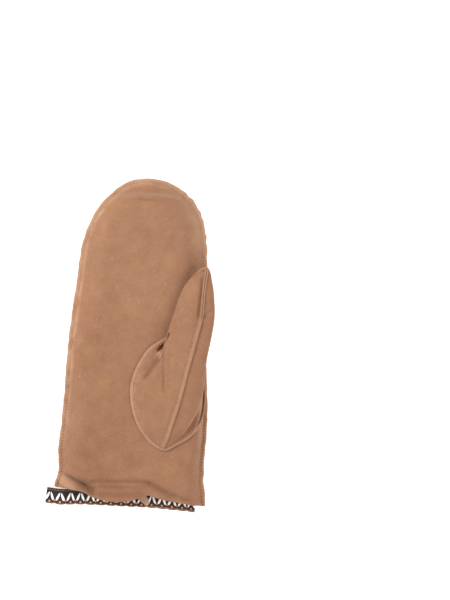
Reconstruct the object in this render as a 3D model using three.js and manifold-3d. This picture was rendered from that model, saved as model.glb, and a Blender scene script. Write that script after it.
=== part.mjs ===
// A suede mitten for one hand, lying flat with its palm up, as it rests on a table. Millimetres, +Z up.
// +Y runs from the cuff to the fingertips and +X to the thumb's side. The origin is on the flat of the back,
// where the mitten rests. The pieces are the back and the palm, joined by an outward seam round the edge, the
// thumb sewn over a leaf-shaped opening in the palm, a woven band inside each side of the cuff, and a small
// loop to hang the mitten by.
import * as THREE from "three";
import { mergeVertices } from "three/addons/utils/BufferGeometryUtils.js";
import Module from "manifold-3d";

const wasm = await Module();
wasm.setup();

// Driving dimensions
const SUEDE = 1.4; // thickness of the suede
const BAND = 1.0; // thickness of the woven band
const GAP = 0.3; // between pieces that are sewn together
const SEAM_WIDTH = 2.6; // the flat outward seam round the edge
const SEAM_HEIGHT = 6.6; // the middle of the seam's inner side above the table
const SEAM_DROP = 1.8; // how much lower its edge hangs
const DROP_REACH = 6.0; // how far in from the edge the drop fades out
const SOFT_START = 0.12; // how softly a panel leaves its seam
const BACK_ROLL = 16; // how far in from the seam the back turns down to the table
const THUMB_LIP = 2.4; // the seam that lies round the foot of the thumb
const OPENING_INSET = 3.2; // from the lip's outer edge to the opening cut in the palm
const FIN_WIDTH = 2.4; // the raised seam along the thumb
const FIN_HEIGHT = 1.9;
const BAND_WIDTH = 12.4; // the woven band, from edge to edge
const CENTRE_X = 2.5; // the line up the middle of the hand
const TIP_CENTRE_Y = 70; // the centre that the rounded fingertips are measured from
const FLAT_MITRE = 2.5; // how quickly a panel levels out beside its seam
const ROLL_END_Y = -126; // where the side tables start

// The sides of the mitten from the cuff up: where each side seam's edge is, how high the palm stands over the
// seam, and how far in it takes to reach that height. The thumb's side is steep beside the thumb.
const SIDES = [
  { y: ROLL_END_Y, left: -59.6, right: 57.6, rise: 7.5, rollLeft: 18, rollRight: 18 },
  { y: -112, left: -58.9, right: 56.6, rise: 8.0, rollLeft: 18, rollRight: 17 },
  { y: -104, left: -56.9, right: 54.9, rise: 8.6, rollLeft: 17, rollRight: 15 },
  { y: -98, left: -55.8, right: 55.0, rise: 9.2, rollLeft: 18, rollRight: 13 },
  { y: -91, left: -56.6, right: 55.0, rise: 9.8, rollLeft: 19, rollRight: 11 },
  { y: -82, left: -56.8, right: 55.2, rise: 10.6, rollLeft: 20, rollRight: 9 },
  { y: -60, left: -55.1, right: 56.1, rise: 11.5, rollLeft: 21, rollRight: 6 },
  { y: -36, left: -53.9, right: 55.2, rise: 11.5, rollLeft: 22, rollRight: 5 },
  { y: -8, left: -53.0, right: 53.0, rise: 11.5, rollLeft: 22, rollRight: 8 },
  { y: 22, left: -50.8, right: 52.4, rise: 11.2, rollLeft: 22, rollRight: 18 },
  { y: 48, left: -47.9, right: 51.8, rise: 10.6, rollLeft: 22, rollRight: 22 },
  { y: TIP_CENTRE_Y, left: -46.0, right: 50.5, rise: 10.0, rollLeft: 22, rollRight: 22 },
];
// The rounded fingertips, as distances from their centre. The angle turns from the thumb's side to the other.
const FINGERTIPS = [
  { angle: 0, radius: 48.0 },
  { angle: 20, radius: 49.2 },
  { angle: 36, radius: 52.9 },
  { angle: 52, radius: 55.8 },
  { angle: 70, radius: 57.9 },
  { angle: 92, radius: 58.2 },
  { angle: 108, radius: 56.2 },
  { angle: 122, radius: 52.7 },
  { angle: 136, radius: 50.2 },
  { angle: 152, radius: 48.0 },
  { angle: 166, radius: 47.4 },
  { angle: 180, radius: 48.5 },
];
// The cuff's edges. The palm's edge waves, and the back's is cut a little shorter, so that the band shows.
const PALM_CUFF = [
  { x: -58, y: -111.4 },
  { x: -45, y: -112.0 },
  { x: -38, y: -113.3 },
  { x: -32, y: -116.3 },
  { x: -25, y: -118.6 },
  { x: -16, y: -120.1 },
  { x: -8, y: -120.2 },
  { x: 1, y: -119.2 },
  { x: 8, y: -116.3 },
  { x: 14, y: -114.7 },
  { x: 20, y: -115.9 },
  { x: 30, y: -118.0 },
  { x: 40, y: -119.4 },
  { x: 48, y: -120.8 },
  { x: 58.4, y: -120.8 },
];
const BACK_CUFF = [
  { x: -58, y: -110.8 },
  { x: -49, y: -111.6 },
  { x: -38, y: -114.6 },
  { x: 0, y: -116.2 },
  { x: 58.4, y: -118.6 },
];
const CUFF_ROW_Y = -118; // the middle of the cuff's edges
const CUFF_FADE = 42; // how far up from there the rows of a panel still follow the cuff's edge

// The soft folds and dents of the palm. Each runs from one point to the other along a bowed line, is as wide
// as given to each side, and lifts the suede, or lowers it where lift is negative.
const FOLDS = [
  { name: "left cuff flap", fromX: -58, fromY: -107.5, toX: -27, toY: -118.5, bow: 1, width: 3.6, lift: 2.0 },
  { name: "left cuff valley", fromX: -60, fromY: -98.6, toX: -17, toY: -117, bow: 0, width: 3.4, lift: -3.4 },
  { name: "cuff slope", fromX: -44, fromY: -112.5, toX: 20, toY: -111.5, bow: 0, width: 5.6, lift: -3.4 },
  { name: "cuff roll", fromX: -30, fromY: -119, toX: 12, toY: -116.5, bow: -1.5, width: 3.2, lift: 1.4 },
  { name: "right crease", fromX: 9, fromY: -103.4, toX: 52, toY: -118.8, bow: -2.2, width: 3, lift: -3.0 },
  { name: "right roll", fromX: 14, fromY: -110, toX: 58, toY: -121, bow: -1.5, width: 3.6, lift: 1.8 },
  { name: "dent at the wrist", fromX: -44, fromY: -88, toX: 24, toY: -92, bow: -3, width: 13, lift: -1.2 },
  { name: "hollow of the palm", fromX: -22, fromY: -60, toX: -24, toY: 30, bow: 4, width: 20, lift: -1.2 },
  { name: "fingertip crease", fromX: -14, fromY: 119.4, toX: 40, toY: 118, bow: 1.5, width: 3.4, lift: -0.8 },
  { name: "fingertip roll", fromX: -22, fromY: 113, toX: 42, toY: 112, bow: 1.5, width: 4, lift: 1.2 },
  { name: "dent beside the fingers", fromX: 22, fromY: 84, toX: 46, toY: 70, bow: 2, width: 9, lift: -1.2 },
];

// The outer edge of the seam round the thumb's foot: from its lowest point, up the thumb's side, over the
// hidden top and down again. Every third row is a point that the thumb's sections also have.
const THUMB_FOOT = [
  { x: 23.8, y: -79.3 },
  { x: 33.5, y: -75.3 },
  { x: 46.3, y: -66.2 },
  { x: 53.3, y: -51.0 },
  { x: 53.2, y: -27.0 },
  { x: 43.5, y: 8.0 },
  { x: 33.0, y: 19.0 },
  { x: 24.0, y: 8.0 },
  { x: 8.2, y: -4.4 },
  { x: -2.3, y: -28.5 },
  { x: 0.3, y: -52.8 },
  { x: 10.9, y: -71.0 },
];
// The thumb's sections from its foot to its tip, as points with heights over the palm's level top: on the
// seam, on the right, under the thumb, two in the web between thumb and palm, and on the left. The fills
// round the ways from the seam to the right, from the right to under the thumb, and from left to the seam.
const THUMB_SECTIONS = [
  {
    seam: [24.2, -75.6, 2.4], right: [51.0, -38.5, 0.6], under: [28.4, 17.6, 2.8],
    web: [22.8, 5.0, 2.2], gusset: [13.0, -12.5, 1.6], left: [1.4, -29.0, 1.9], fills: [0.9, 0.93, 0.94],
  },
  {
    seam: [27.0, -68.5, 6.0], right: [52.0, -34.0, 4.6], under: [30.0, 20.5, 4.6],
    web: [23.2, 6.6, 4.4], gusset: [16.2, -10.5, 3.2], left: [6.0, -27.0, 3.2], fills: [0.94, 0.94, 0.97],
  },
  {
    seam: [30.1, -58.0, 9.0], right: [52.8, -26.0, 6.8], under: [33.4, 26.5, 4.2],
    web: [24.6, 11.0, 5.0], gusset: [19.6, -5.0, 4.8], left: [13.5, -20.0, 4.8], fills: [1.0, 0.96, 1.0],
  },
  {
    seam: [34.9, -41.0, 11.6], right: [53.4, -15.0, 7.6], under: [36.5, 32.0, 3.2],
    web: [28.0, 19.5, 4.2], gusset: [22.6, 3.0, 5.8], left: [20.6, -10.0, 6.4], fills: [1.0, 0.98, 1.04],
  },
  {
    seam: [39.9, -18.0, 13.0], right: [54.6, -1.0, 7.4], under: [39.5, 38.0, 2.4],
    web: [31.6, 29.0, 3.2], gusset: [25.4, 13.5, 5.4], left: [22.8, 2.5, 6.8], fills: [1.0, 1.0, 1.06],
  },
  {
    seam: [44.6, 5.0, 13.2], right: [56.8, 14.0, 7.4], under: [42.5, 44.0, 2.1],
    web: [35.3, 39.7, 2.7], gusset: [30.3, 31.3, 4.4], left: [28.2, 20.0, 6.8], fills: [1.02, 1.02, 1.07],
  },
  {
    seam: [48.6, 25.0, 12.6], right: [58.2, 28.0, 7.2], under: [45.5, 50.0, 2.1],
    web: [39.0, 49.1, 2.5], gusset: [34.5, 44.0, 4.3], left: [33.6, 36.5, 6.8], fills: [1.02, 1.02, 1.07],
  },
  {
    seam: [50.2, 42.0, 11.0], right: [57.2, 42.5, 6.9], under: [48.3, 55.3, 2.6],
    web: [44.0, 55.5, 3.0], gusset: [41.0, 53.6, 4.4], left: [40.2, 50.0, 6.5], fills: [1.0, 1.0, 1.05],
  },
  {
    seam: [51.0, 52.0, 9.4], right: [55.2, 52.5, 6.6], under: [49.6, 58.6, 3.3],
    web: [47.2, 59.0, 3.6], gusset: [45.6, 58.4, 4.7], left: [45.2, 56.8, 6.2], fills: [1.0, 1.0, 1.0],
  },
  {
    seam: [51.6, 57.4, 7.6], right: [54.0, 57.6, 6.1], under: [50.9, 60.8, 4.2],
    web: [49.5, 61.1, 4.4], gusset: [48.6, 60.8, 5.0], left: [48.4, 60.0, 5.9], fills: [1.0, 1.0, 1.0],
  },
];
const THUMB_TIP = { x: 51.3, y: 61.2, z: 5.7 };

// The woven bands' lower edges. The back's runs past the suede on the left, and the palm's stays hidden.
const BACK_BAND_EDGE = [
  { x: -65.4, y: -125.0 },
  { x: -54, y: -125.8 },
  { x: -38, y: -125.3 },
  { x: -4, y: -125.5 },
  { x: 16, y: -125.7 },
  { x: 34, y: -126.8 },
  { x: 50.3, y: -127.6 },
];
const BACK_BAND_ENDS = { left: -65.2, right: 49.6 };
const PALM_BAND_ENDS = { left: -49.6, right: 48.4 };
const PALM_BAND_SET_BACK = 0.6;
const BAND_LEFT_SKEW = 1.3; // how far the band's left end leans, from its upper corner to its lower one
const BAND_DROOP_FROM = -52; // left of here the loose end of the band sinks to the table
const BAND_SINK = 1.6; // how far the end sinks

// The hanging loop: a folded strip, turned from the line straight out of the cuff. Its rows run from the sewn
// end, out past the hem and back, as distances past the hem and drops below the sewn end.
const LOOP_WIDTH = 5.2;
const LOOP_SUEDE = 1.1;
const LOOP_HEM = { x: 9.0, y: -118.3 };
const LOOP_TURN = 38;
const LOOP_PATH = [
  { out: -13.0, drop: 0 },
  { out: -7.0, drop: 0 },
  { out: -1.5, drop: 0.2 },
  { out: 3.6, drop: 0.8 },
  { out: 6.0, drop: 2.2 },
  { out: 4.6, drop: 3.7 },
  { out: -1.0, drop: 3.8 },
  { out: -6.5, drop: 2.8 },
  { out: -12.6, drop: 1.6 },
];

const COLOURS = { suede: 0xb28163, band: 0x2c2523, strip: 0xb4866a };

const clamp = (value, low, high) => Math.min(Math.max(value, low), high);
const mix = (a, b, share) => a + (b - a) * share;
const smooth = (t) => t * t * (3 - 2 * t);

// A smooth curve through one column of a table, read by another column whose values rise from row to row.
function columnCurve(rows, by, column) {
  const last = rows.length - 1;
  const slopes = rows.map((_, i) => {
    const [a, b] = [rows[Math.max(i - 1, 0)], rows[Math.min(i + 1, last)]];
    return (b[column] - a[column]) / (b[by] - a[by]);
  });
  return (value) => {
    const at = clamp(value, rows[0][by], rows[last][by]);
    const i = clamp(rows.findIndex((row) => row[by] > at) - 1, 0, last - 1);
    const span = at >= rows[last][by] ? last - 1 : i;
    const [a, b] = [rows[span], rows[span + 1]];
    const width = b[by] - a[by];
    const t = (at - a[by]) / width;
    const rise = b[column] - a[column];
    const [m0, m1] = [slopes[span] * width, slopes[span + 1] * width];
    return a[column] + t * (m0 + t * (3 * rise - 2 * m0 - m1 + t * (m0 + m1 - 2 * rise)));
  };
}

const side = Object.fromEntries(
  ["left", "right", "rise", "rollLeft", "rollRight"].map((name) => [name, columnCurve(SIDES, "y", name)]),
);
const tipRadius = columnCurve(FINGERTIPS, "angle", "radius");
const palmCuff = columnCurve(PALM_CUFF, "x", "y");
const backCuff = columnCurve(BACK_CUFF, "x", "y");
const bandEdge = columnCurve(BACK_BAND_EDGE, "x", "y");

// How far a point of the plan lies in from the mitten's edge, and how far in the palm levels out there.
function inset(x, y) {
  if (y <= TIP_CENTRE_Y) {
    const leftSide = x < CENTRE_X;
    const edge = leftSide ? side.left(y) : side.right(y);
    return { depth: leftSide ? x - edge : edge - x, roll: leftSide ? side.rollLeft(y) : side.rollRight(y) };
  }
  const angle = THREE.MathUtils.radToDeg(Math.atan2(y - TIP_CENTRE_Y, x - CENTRE_X));
  return {
    depth: tipRadius(angle) - Math.hypot(x - CENTRE_X, y - TIP_CENTRE_Y),
    roll: mix(side.rollRight(TIP_CENTRE_Y), side.rollLeft(TIP_CENTRE_Y), angle / 180),
  };
}

// 0 on the seam, and 1 where the panel is level.
function levelled(depth, roll) {
  const t = clamp((depth - SEAM_WIDTH) / roll, 0, 1);
  const soft = (t * t * (1 + SOFT_START)) / (t + SOFT_START);
  return 1 - (1 - soft) ** FLAT_MITRE;
}

// The height of the seam between the panels, which hangs down towards its edge.
function seamLevel(depth) {
  return SEAM_HEIGHT - SEAM_DROP * (1 - smooth(clamp(depth / DROP_REACH, 0, 1)));
}

// The height that the folds add at a point of the palm.
function foldLift(x, y) {
  return FOLDS.reduce((total, fold) => {
    const [dx, dy] = [fold.toX - fold.fromX, fold.toY - fold.fromY];
    const length = Math.hypot(dx, dy);
    const along = ((x - fold.fromX) * dx + (y - fold.fromY) * dy) / length ** 2;
    const across = ((y - fold.fromY) * dx - (x - fold.fromX) * dy) / length;
    const off = (across - fold.bow * 4 * along * (1 - along)) / fold.width;
    const ends = smooth(clamp(along / 0.16, 0, 1)) * smooth(clamp((1 - along) / 0.16, 0, 1));
    return total + fold.lift * ends * Math.exp(-off * off);
  }, 0);
}

// The middle of the palm's suede, and of the back's, at a point of the plan.
function palmHeight(x, y) {
  const { depth, roll } = inset(x, y);
  const level = levelled(depth, roll);
  return seamLevel(depth) + (SUEDE + GAP) / 2 + level * (side.rise(y) + foldLift(x, y));
}
function backHeight(x, y) {
  const { depth } = inset(x, y);
  const seam = seamLevel(depth) - (SUEDE + GAP) / 2;
  return mix(seam, SUEDE / 2, levelled(depth, BACK_ROLL));
}
const PALM_TOP = SEAM_HEIGHT + (SUEDE + GAP) / 2 + Math.max(...SIDES.map((row) => row.rise)) + SUEDE / 2;

// A point of a height field moved along the field's own upward normal.
function overField(height, x, y, lift) {
  const e = 0.25;
  const slopeX = (height(x + e, y) - height(x - e, y)) / (2 * e);
  const slopeY = (height(x, y + e) - height(x, y - e)) / (2 * e);
  const normal = new THREE.Vector3(-slopeX, -slopeY, 1).normalize();
  return new THREE.Vector3(x, y, height(x, y)).addScaledVector(normal, lift);
}

// A closed body from triangles whose corners are shared by place.
function bodyOf(triangles) {
  const real = ([a, b, c]) => a.distanceTo(b) * b.distanceTo(c) * c.distanceTo(a) > 0;
  const corners = triangles.filter(real).flat();
  const position = new THREE.Float32BufferAttribute(corners.flatMap((p) => p.toArray()), 3);
  const merged = mergeVertices(new THREE.BufferGeometry().setAttribute("position", position), 1e-4);
  const triVerts = new Uint32Array(merged.index.array);
  return new wasm.Manifold(
    new wasm.Mesh({ numProp: 3, vertProperties: merged.attributes.position.array, triVerts }),
  );
}
const quad = (a, b, c, d) => [[a, b, c], [a, c, d]];

// A body from two grids of points, one above the other, closed round the edges that rims names.
function sheetBody(upper, lower, rims) {
  const triangles = [];
  const last = upper.length - 1;
  const width = upper[0].length - 1;
  for (let i = 0; i < last; i += 1) {
    for (let j = 0; j < width; j += 1) {
      triangles.push(...quad(upper[i][j], upper[i][j + 1], upper[i + 1][j + 1], upper[i + 1][j]));
      triangles.push(...quad(lower[i][j], lower[i + 1][j], lower[i + 1][j + 1], lower[i][j + 1]));
    }
    if (rims.start) triangles.push(...quad(upper[i][0], upper[i + 1][0], lower[i + 1][0], lower[i][0]));
    if (rims.end) {
      triangles.push(...quad(upper[i + 1][width], upper[i][width], lower[i][width], lower[i + 1][width]));
    }
  }
  for (let j = 0; j < width; j += 1) {
    if (rims.first) triangles.push(...quad(upper[0][j + 1], upper[0][j], lower[0][j], lower[0][j + 1]));
    if (rims.last) {
      triangles.push(...quad(upper[last][j], upper[last][j + 1], lower[last][j + 1], lower[last][j]));
    }
  }
  return bodyOf(triangles);
}

// Geometry

// How far in from the edge the points of a panel's rows are.
const DEPTHS = [0, SEAM_WIDTH, 3.8, 5.2, 7, 9.5, 12.8, 16.6, 21, 26, 31.5, 37, 42.5, 48, Infinity];

// The rows of a panel: up one side from the cuff, round the fingertips and down the other side. Each row runs
// from the edge in to the middle of the hand, close together beside the seam.
function panelBody(height, cuff, rowsUp, turnSteps, thickness = SUEDE) {
  const liftTo = (x, y) => y + (cuff(x) - CUFF_ROW_Y) * smooth(clamp(1 - (y - CUFF_ROW_Y) / CUFF_FADE, 0, 1));
  const sideRow = (name) => (y) => {
    const rough = side[name](y);
    const edge = side[name](liftTo(rough, y));
    const reach = CENTRE_X - edge;
    return DEPTHS.map((depth) => {
      const share = depth === Infinity ? 1 : Math.min(depth / Math.abs(reach), 1);
      const x = edge + reach * share;
      return [x, liftTo(x, y)];
    });
  };
  const turnRow = (step) => {
    const angle = 180 - (180 * step) / turnSteps;
    const radius = tipRadius(angle);
    const [c, s] = [Math.cos(THREE.MathUtils.degToRad(angle)), Math.sin(THREE.MathUtils.degToRad(angle))];
    return DEPTHS.map((depth) => {
      const left = Math.max(radius - depth, 0);
      return [CENTRE_X + c * left, TIP_CENTRE_Y + s * left];
    });
  };
  const turns = Array.from({ length: turnSteps - 1 }, (_, i) => turnRow(i + 1));
  const plan = [...rowsUp.map(sideRow("left")), ...turns, ...rowsUp.toReversed().map(sideRow("right"))];
  const [upper, lower] = [thickness / 2, -thickness / 2].map((lift) =>
    plan.map((row) => row.map(([x, y]) => overField(height, x, y, lift))),
  );
  return sheetBody(upper, lower, { start: true, end: false, first: true, last: true });
}

// Heights of rows from one to another, evenly spaced.
function evenly(from, to, count) {
  return Array.from({ length: count + 1 }, (_, i) => mix(from, to, i / count));
}

// A closed loop through points, sampled so that every control point is met.
function loopThrough(points, count) {
  const curve = new THREE.CatmullRomCurve3(points, true, "catmullrom", 0.5);
  return Array.from({ length: count }, (_, i) => curve.getPoint(i / count));
}

// A closed plan outline moved inwards by a distance. The outline turns anticlockwise.
function insetLoop(loop, distance) {
  return loop.map((point, i) => {
    const before = loop[(i + loop.length - 1) % loop.length];
    const after = loop[(i + 1) % loop.length];
    const along = new THREE.Vector3(after.x - before.x, after.y - before.y, 0).normalize();
    return new THREE.Vector3(point.x - along.y * distance, point.y + along.x * distance, point.z);
  });
}

const THUMB_AROUND = 36;
const footLoop = loopThrough(THUMB_FOOT.map((p) => new THREE.Vector3(p.x, p.y, 0)), THUMB_AROUND);

// One section of the thumb, rounded through its six points.
function thumbSection(row) {
  const at = (name) => new THREE.Vector3(...row[name]).add(new THREE.Vector3(0, 0, PALM_TOP));
  const [seam, right, under, web, gusset, left] = ["seam", "right", "under", "web", "gusset", "left"].map(at);
  const guides = [seam, right, under, left];
  const centre = guides.reduce((sum, p) => sum.addScaledVector(p, 0.25), new THREE.Vector3());
  const between = (from, to, fill) => [30, 60].map((turn) => {
    const angle = THREE.MathUtils.degToRad(turn);
    return from.clone().sub(centre).multiplyScalar(Math.cos(angle) * fill)
      .addScaledVector(to.clone().sub(centre), Math.sin(angle) * fill).add(centre);
  });
  const [fillRight, fillUnder, fillLeft] = row.fills;
  const points = [
    seam, ...between(seam, right, fillRight),
    right, ...between(right, under, fillUnder),
    under, web, gusset,
    left, ...between(left, seam, fillLeft),
  ];
  return loopThrough(points, THUMB_AROUND);
}

// The rows of the thumb's suede: the lip on the palm, and the sections up to the tip.
function thumbRows() {
  const lift = SUEDE / 2 + GAP + SUEDE / 2;
  const inner = insetLoop(footLoop, THUMB_LIP).map((p) => overField(palmHeight, p.x, p.y, lift));
  const outer = footLoop.map((p, i) => {
    const onPalm = overField(palmHeight, p.x, p.y, lift);
    return new THREE.Vector3(p.x, p.y, Math.max(onPalm.z, inner[i].z - 0.6));
  });
  return [outer, inner, ...THUMB_SECTIONS.map(thumbSection)];
}

// Outward normals of a tube of rows, with the last row followed by the tip.
function tubeNormals(rows, tip) {
  return rows.map((row, i) => row.map((_, j) => {
    const count = row.length;
    const around = row[(j + 1) % count].clone().sub(row[(j + count - 1) % count]);
    const next = rows[i + 1] ? rows[i + 1][j] : tip;
    const up = next.clone().sub(rows[Math.max(i - 1, 0)][j]);
    return around.cross(up).normalize();
  }));
}

function thumbBody(thickness = SUEDE) {
  const rows = thumbRows();
  const tip = new THREE.Vector3(THUMB_TIP.x, THUMB_TIP.y, PALM_TOP + THUMB_TIP.z);
  const normals = tubeNormals(rows, tip);
  const moved = (lift) => rows.map((row, i) =>
    row.map((p, j) => p.clone().addScaledVector(normals[i][j], lift)));
  const [outer, inner] = [moved(thickness / 2), moved(-thickness / 2)];
  const lastRow = rows[rows.length - 1];
  const middle = lastRow.reduce((sum, p) => sum.addScaledVector(p, 1 / THUMB_AROUND), new THREE.Vector3());
  const ahead = tip.clone().sub(middle).normalize();
  const [outerTip, innerTip] = [0.5, -0.5].map((way) => tip.clone().addScaledVector(ahead, way * thickness));
  const triangles = [];
  for (let j = 0; j < THUMB_AROUND; j += 1) {
    const k = (j + 1) % THUMB_AROUND;
    for (let i = 0; i + 1 < rows.length; i += 1) {
      triangles.push(...quad(outer[i][j], outer[i][k], outer[i + 1][k], outer[i + 1][j]));
      triangles.push(...quad(inner[i][j], inner[i + 1][j], inner[i + 1][k], inner[i][k]));
    }
    triangles.push(...quad(outer[0][k], outer[0][j], inner[0][j], inner[0][k]));
    const end = rows.length - 1;
    triangles.push([outer[end][j], outer[end][k], outerTip], [inner[end][j], innerTip, inner[end][k]]);
  }
  return bodyOf(triangles).add(finBody(rows, normals));
}

// The raised seam along the thumb, a bar that follows the first point of every row.
function finBody(rows, normals) {
  const path = rows.slice(1).map((row) => row[0]);
  const ups = normals.slice(1).map((row) => row[0]);
  const rings = path.map((p, i) => {
    const along = path[Math.min(i + 1, path.length - 1)].clone().sub(path[Math.max(i - 1, 0)]).normalize();
    const across = along.clone().cross(ups[i]).normalize();
    const top = SUEDE / 2 + FIN_HEIGHT;
    return [[-0.5, 0], [0.5, 0], [0.5, top], [-0.5, top]].map(([share, rise]) =>
      p.clone().addScaledVector(across, share * FIN_WIDTH).addScaledVector(ups[i], rise));
  });
  const triangles = [];
  for (let i = 0; i + 1 < rings.length; i += 1) {
    for (let j = 0; j < 4; j += 1) {
      const k = (j + 1) % 4;
      triangles.push(...quad(rings[i][j], rings[i + 1][j], rings[i + 1][k], rings[i][k]));
    }
  }
  const end = rings[rings.length - 1];
  triangles.push(...quad(rings[0][0], rings[0][1], rings[0][2], rings[0][3]));
  triangles.push(...quad(end[3], end[2], end[1], end[0]));
  return bodyOf(triangles);
}

// The opening for the thumb, as a tall plug that is cut out of the palm.
function openingPlug() {
  const outline = insetLoop(footLoop, OPENING_INSET).map((p) => new THREE.Vector2(p.x, p.y));
  const settings = { depth: PALM_TOP * 2, bevelEnabled: false };
  const tall = new THREE.ExtrudeGeometry(new THREE.Shape(outline), settings);
  tall.deleteAttribute("normal").deleteAttribute("uv");
  const merged = mergeVertices(tall, 1e-4);
  const triVerts = new Uint32Array(merged.index.array);
  return new wasm.Manifold(
    new wasm.Mesh({ numProp: 3, vertProperties: merged.attributes.position.array, triVerts }),
  );
}

// A woven band against the inside of a panel. way is 1 over the back and -1 under the palm.
function bandBody(height, way, ends, edge, skew, columns) {
  const across = evenly(0, 1, 4);
  const reach = (SUEDE + BAND) / 2 + GAP;
  const grid = evenly(ends.left, ends.right, columns).map((x) => across.map((share) => {
    const lean = skew * share * clamp((ends.left + 20 - x) / 20, 0, 1);
    const y = edge(x) + BAND_WIDTH * (1 - share);
    const over = overField(height, Math.max(x, BAND_DROOP_FROM), y, way * reach);
    const loose = clamp((BAND_DROOP_FROM - x) / (BAND_DROOP_FROM - BACK_BAND_ENDS.left), 0, 1);
    const sink = BAND_SINK * smooth(loose);
    return new THREE.Vector3(over.x + Math.min(x - BAND_DROOP_FROM, 0) - lean, over.y, over.z - sink);
  }));
  const [upper, lower] = [BAND / 2, -BAND / 2].map((lift) => grid.map((row, i) => row.map((p, j) => {
    const along = grid[Math.min(i + 1, columns)][j].clone().sub(grid[Math.max(i - 1, 0)][j]);
    const down = row[Math.min(j + 1, across.length - 1)].clone().sub(row[Math.max(j - 1, 0)]);
    return p.clone().addScaledVector(down.cross(along).normalize(), lift);
  })));
  return sheetBody(upper, lower, { start: true, end: true, first: true, last: true });
}

// The loop, a strip swept along its folded path, just under the palm and its band.
function loopBody() {
  const turn = THREE.MathUtils.degToRad(LOOP_TURN);
  const ahead = new THREE.Vector3(Math.sin(turn), -Math.cos(turn), 0);
  const sideways = new THREE.Vector3(Math.cos(turn), Math.sin(turn), 0);
  const points = LOOP_PATH.map((p) =>
    new THREE.Vector3(LOOP_HEM.x, LOOP_HEM.y, -p.drop).addScaledVector(ahead, p.out));
  const path = new THREE.CatmullRomCurve3(points).getSpacedPoints(28);
  const strand = (p, share) => p.clone().addScaledVector(sideways, share * LOOP_WIDTH);
  const hidden = path.flatMap((p) => [-0.5, 0, 0.5].map((share) => strand(p, share)))
    .filter((p) => p.y > LOOP_HEM.y);
  const above = Math.min(...hidden.map((p) => palmHeight(p.x, p.y)));
  const sewn = above - (SUEDE + LOOP_SUEDE) / 2 - BAND - 3 * GAP;
  const [upper, lower] = [-0.5, 0.5].map((face) => path.map((p, i) => {
    const along = path[Math.min(i + 1, path.length - 1)].clone().sub(path[Math.max(i - 1, 0)]).normalize();
    const out = along.cross(sideways).multiplyScalar(-face * LOOP_SUEDE);
    return [0.5, -0.5].map((share) => strand(p, share).add(out).setZ(p.z + out.z + sewn));
  }));
  return sheetBody(upper, lower, { start: true, end: true, first: true, last: true });
}

// Meshes
function meshOf(name, solid, colour, roughness) {
  const made = solid.getMesh();
  const geometry = new THREE.BufferGeometry()
    .setAttribute("position", new THREE.BufferAttribute(made.vertProperties, made.numProp))
    .setIndex(new THREE.BufferAttribute(made.triVerts, 1));
  const material = new THREE.MeshStandardMaterial({ color: colour, roughness, metalness: 0 });
  const mesh = new THREE.Mesh(geometry, material);
  mesh.name = name;
  return mesh;
}

const cuffRows = evenly(CUFF_ROW_Y, -90, 10);
const palmRows = [...cuffRows, ...evenly(-82, TIP_CENTRE_Y, 15)];
const backRows = [...evenly(CUFF_ROW_Y, -96, 3), ...evenly(-84, TIP_CENTRE_Y, 10)];
const PALM_TURNS = 22;
const BACK_TURNS = 18;
const BAND_COLUMNS = 25;

// A piece without what lies closer than the gap to the one it is sewn to, given as that one made thicker.
const CLEAR = 2 * (GAP - 0.02);
const trimmed = (piece, thickened) =>
  piece.subtract(thickened).decompose().sort((a, b) => b.volume() - a.volume())[0];

const back = panelBody(backHeight, backCuff, backRows, BACK_TURNS);
const palmSheet = panelBody(palmHeight, palmCuff, palmRows, PALM_TURNS);
const palm = trimmed(palmSheet.subtract(openingPlug()), thumbBody(SUEDE + CLEAR));
const backBand = trimmed(
  bandBody(backHeight, 1, BACK_BAND_ENDS, bandEdge, BAND_LEFT_SKEW, BAND_COLUMNS),
  panelBody(backHeight, backCuff, backRows, BACK_TURNS, SUEDE + CLEAR),
);
const palmBand = trimmed(
  bandBody(palmHeight, -1, PALM_BAND_ENDS, (x) => palmCuff(x) + PALM_BAND_SET_BACK, 0, BAND_COLUMNS),
  panelBody(palmHeight, palmCuff, palmRows, PALM_TURNS, SUEDE + CLEAR),
);

const mitten = new THREE.Group();
mitten.add(
  meshOf("back_panel", back, COLOURS.suede, 0.95),
  meshOf("palm_panel", palm, COLOURS.suede, 0.95),
  meshOf("thumb", thumbBody(), COLOURS.suede, 0.95),
  meshOf("back_cuff_band", backBand, COLOURS.band, 0.8),
  meshOf("palm_cuff_band", palmBand, COLOURS.band, 0.8),
  meshOf("hanging_loop", loopBody(), COLOURS.strip, 0.95),
);

export default mitten;
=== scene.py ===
"""A suede mitten for the right hand, lying on a table with its palm up.

Lengths are in millimetres until a mesh is made, and meshes are in metres. +Y runs from the cuff to the
fingertips, +X to the thumb's side and +Z up out of the palm. The origin is where the back rests.
"""

import logging
import math
from dataclasses import dataclass, field
from enum import Enum
from typing import Any, Callable, NamedTuple, Optional, Sequence, Union

import bmesh
import bpy
import numpy as np
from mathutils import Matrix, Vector


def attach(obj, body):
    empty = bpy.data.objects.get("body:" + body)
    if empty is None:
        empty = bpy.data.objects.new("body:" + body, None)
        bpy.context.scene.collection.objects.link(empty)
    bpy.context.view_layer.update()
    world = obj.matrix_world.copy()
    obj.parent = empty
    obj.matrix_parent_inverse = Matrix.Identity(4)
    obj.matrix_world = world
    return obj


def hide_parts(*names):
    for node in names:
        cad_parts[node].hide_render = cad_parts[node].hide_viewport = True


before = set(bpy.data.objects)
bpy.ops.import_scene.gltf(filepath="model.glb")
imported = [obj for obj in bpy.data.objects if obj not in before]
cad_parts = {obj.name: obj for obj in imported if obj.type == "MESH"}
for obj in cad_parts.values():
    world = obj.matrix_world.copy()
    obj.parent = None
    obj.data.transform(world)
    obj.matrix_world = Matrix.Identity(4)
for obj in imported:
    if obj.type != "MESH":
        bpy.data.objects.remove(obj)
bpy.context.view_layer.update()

LOG = logging.getLogger("mitten")
BODY = "root"
MM = 0.001
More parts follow.
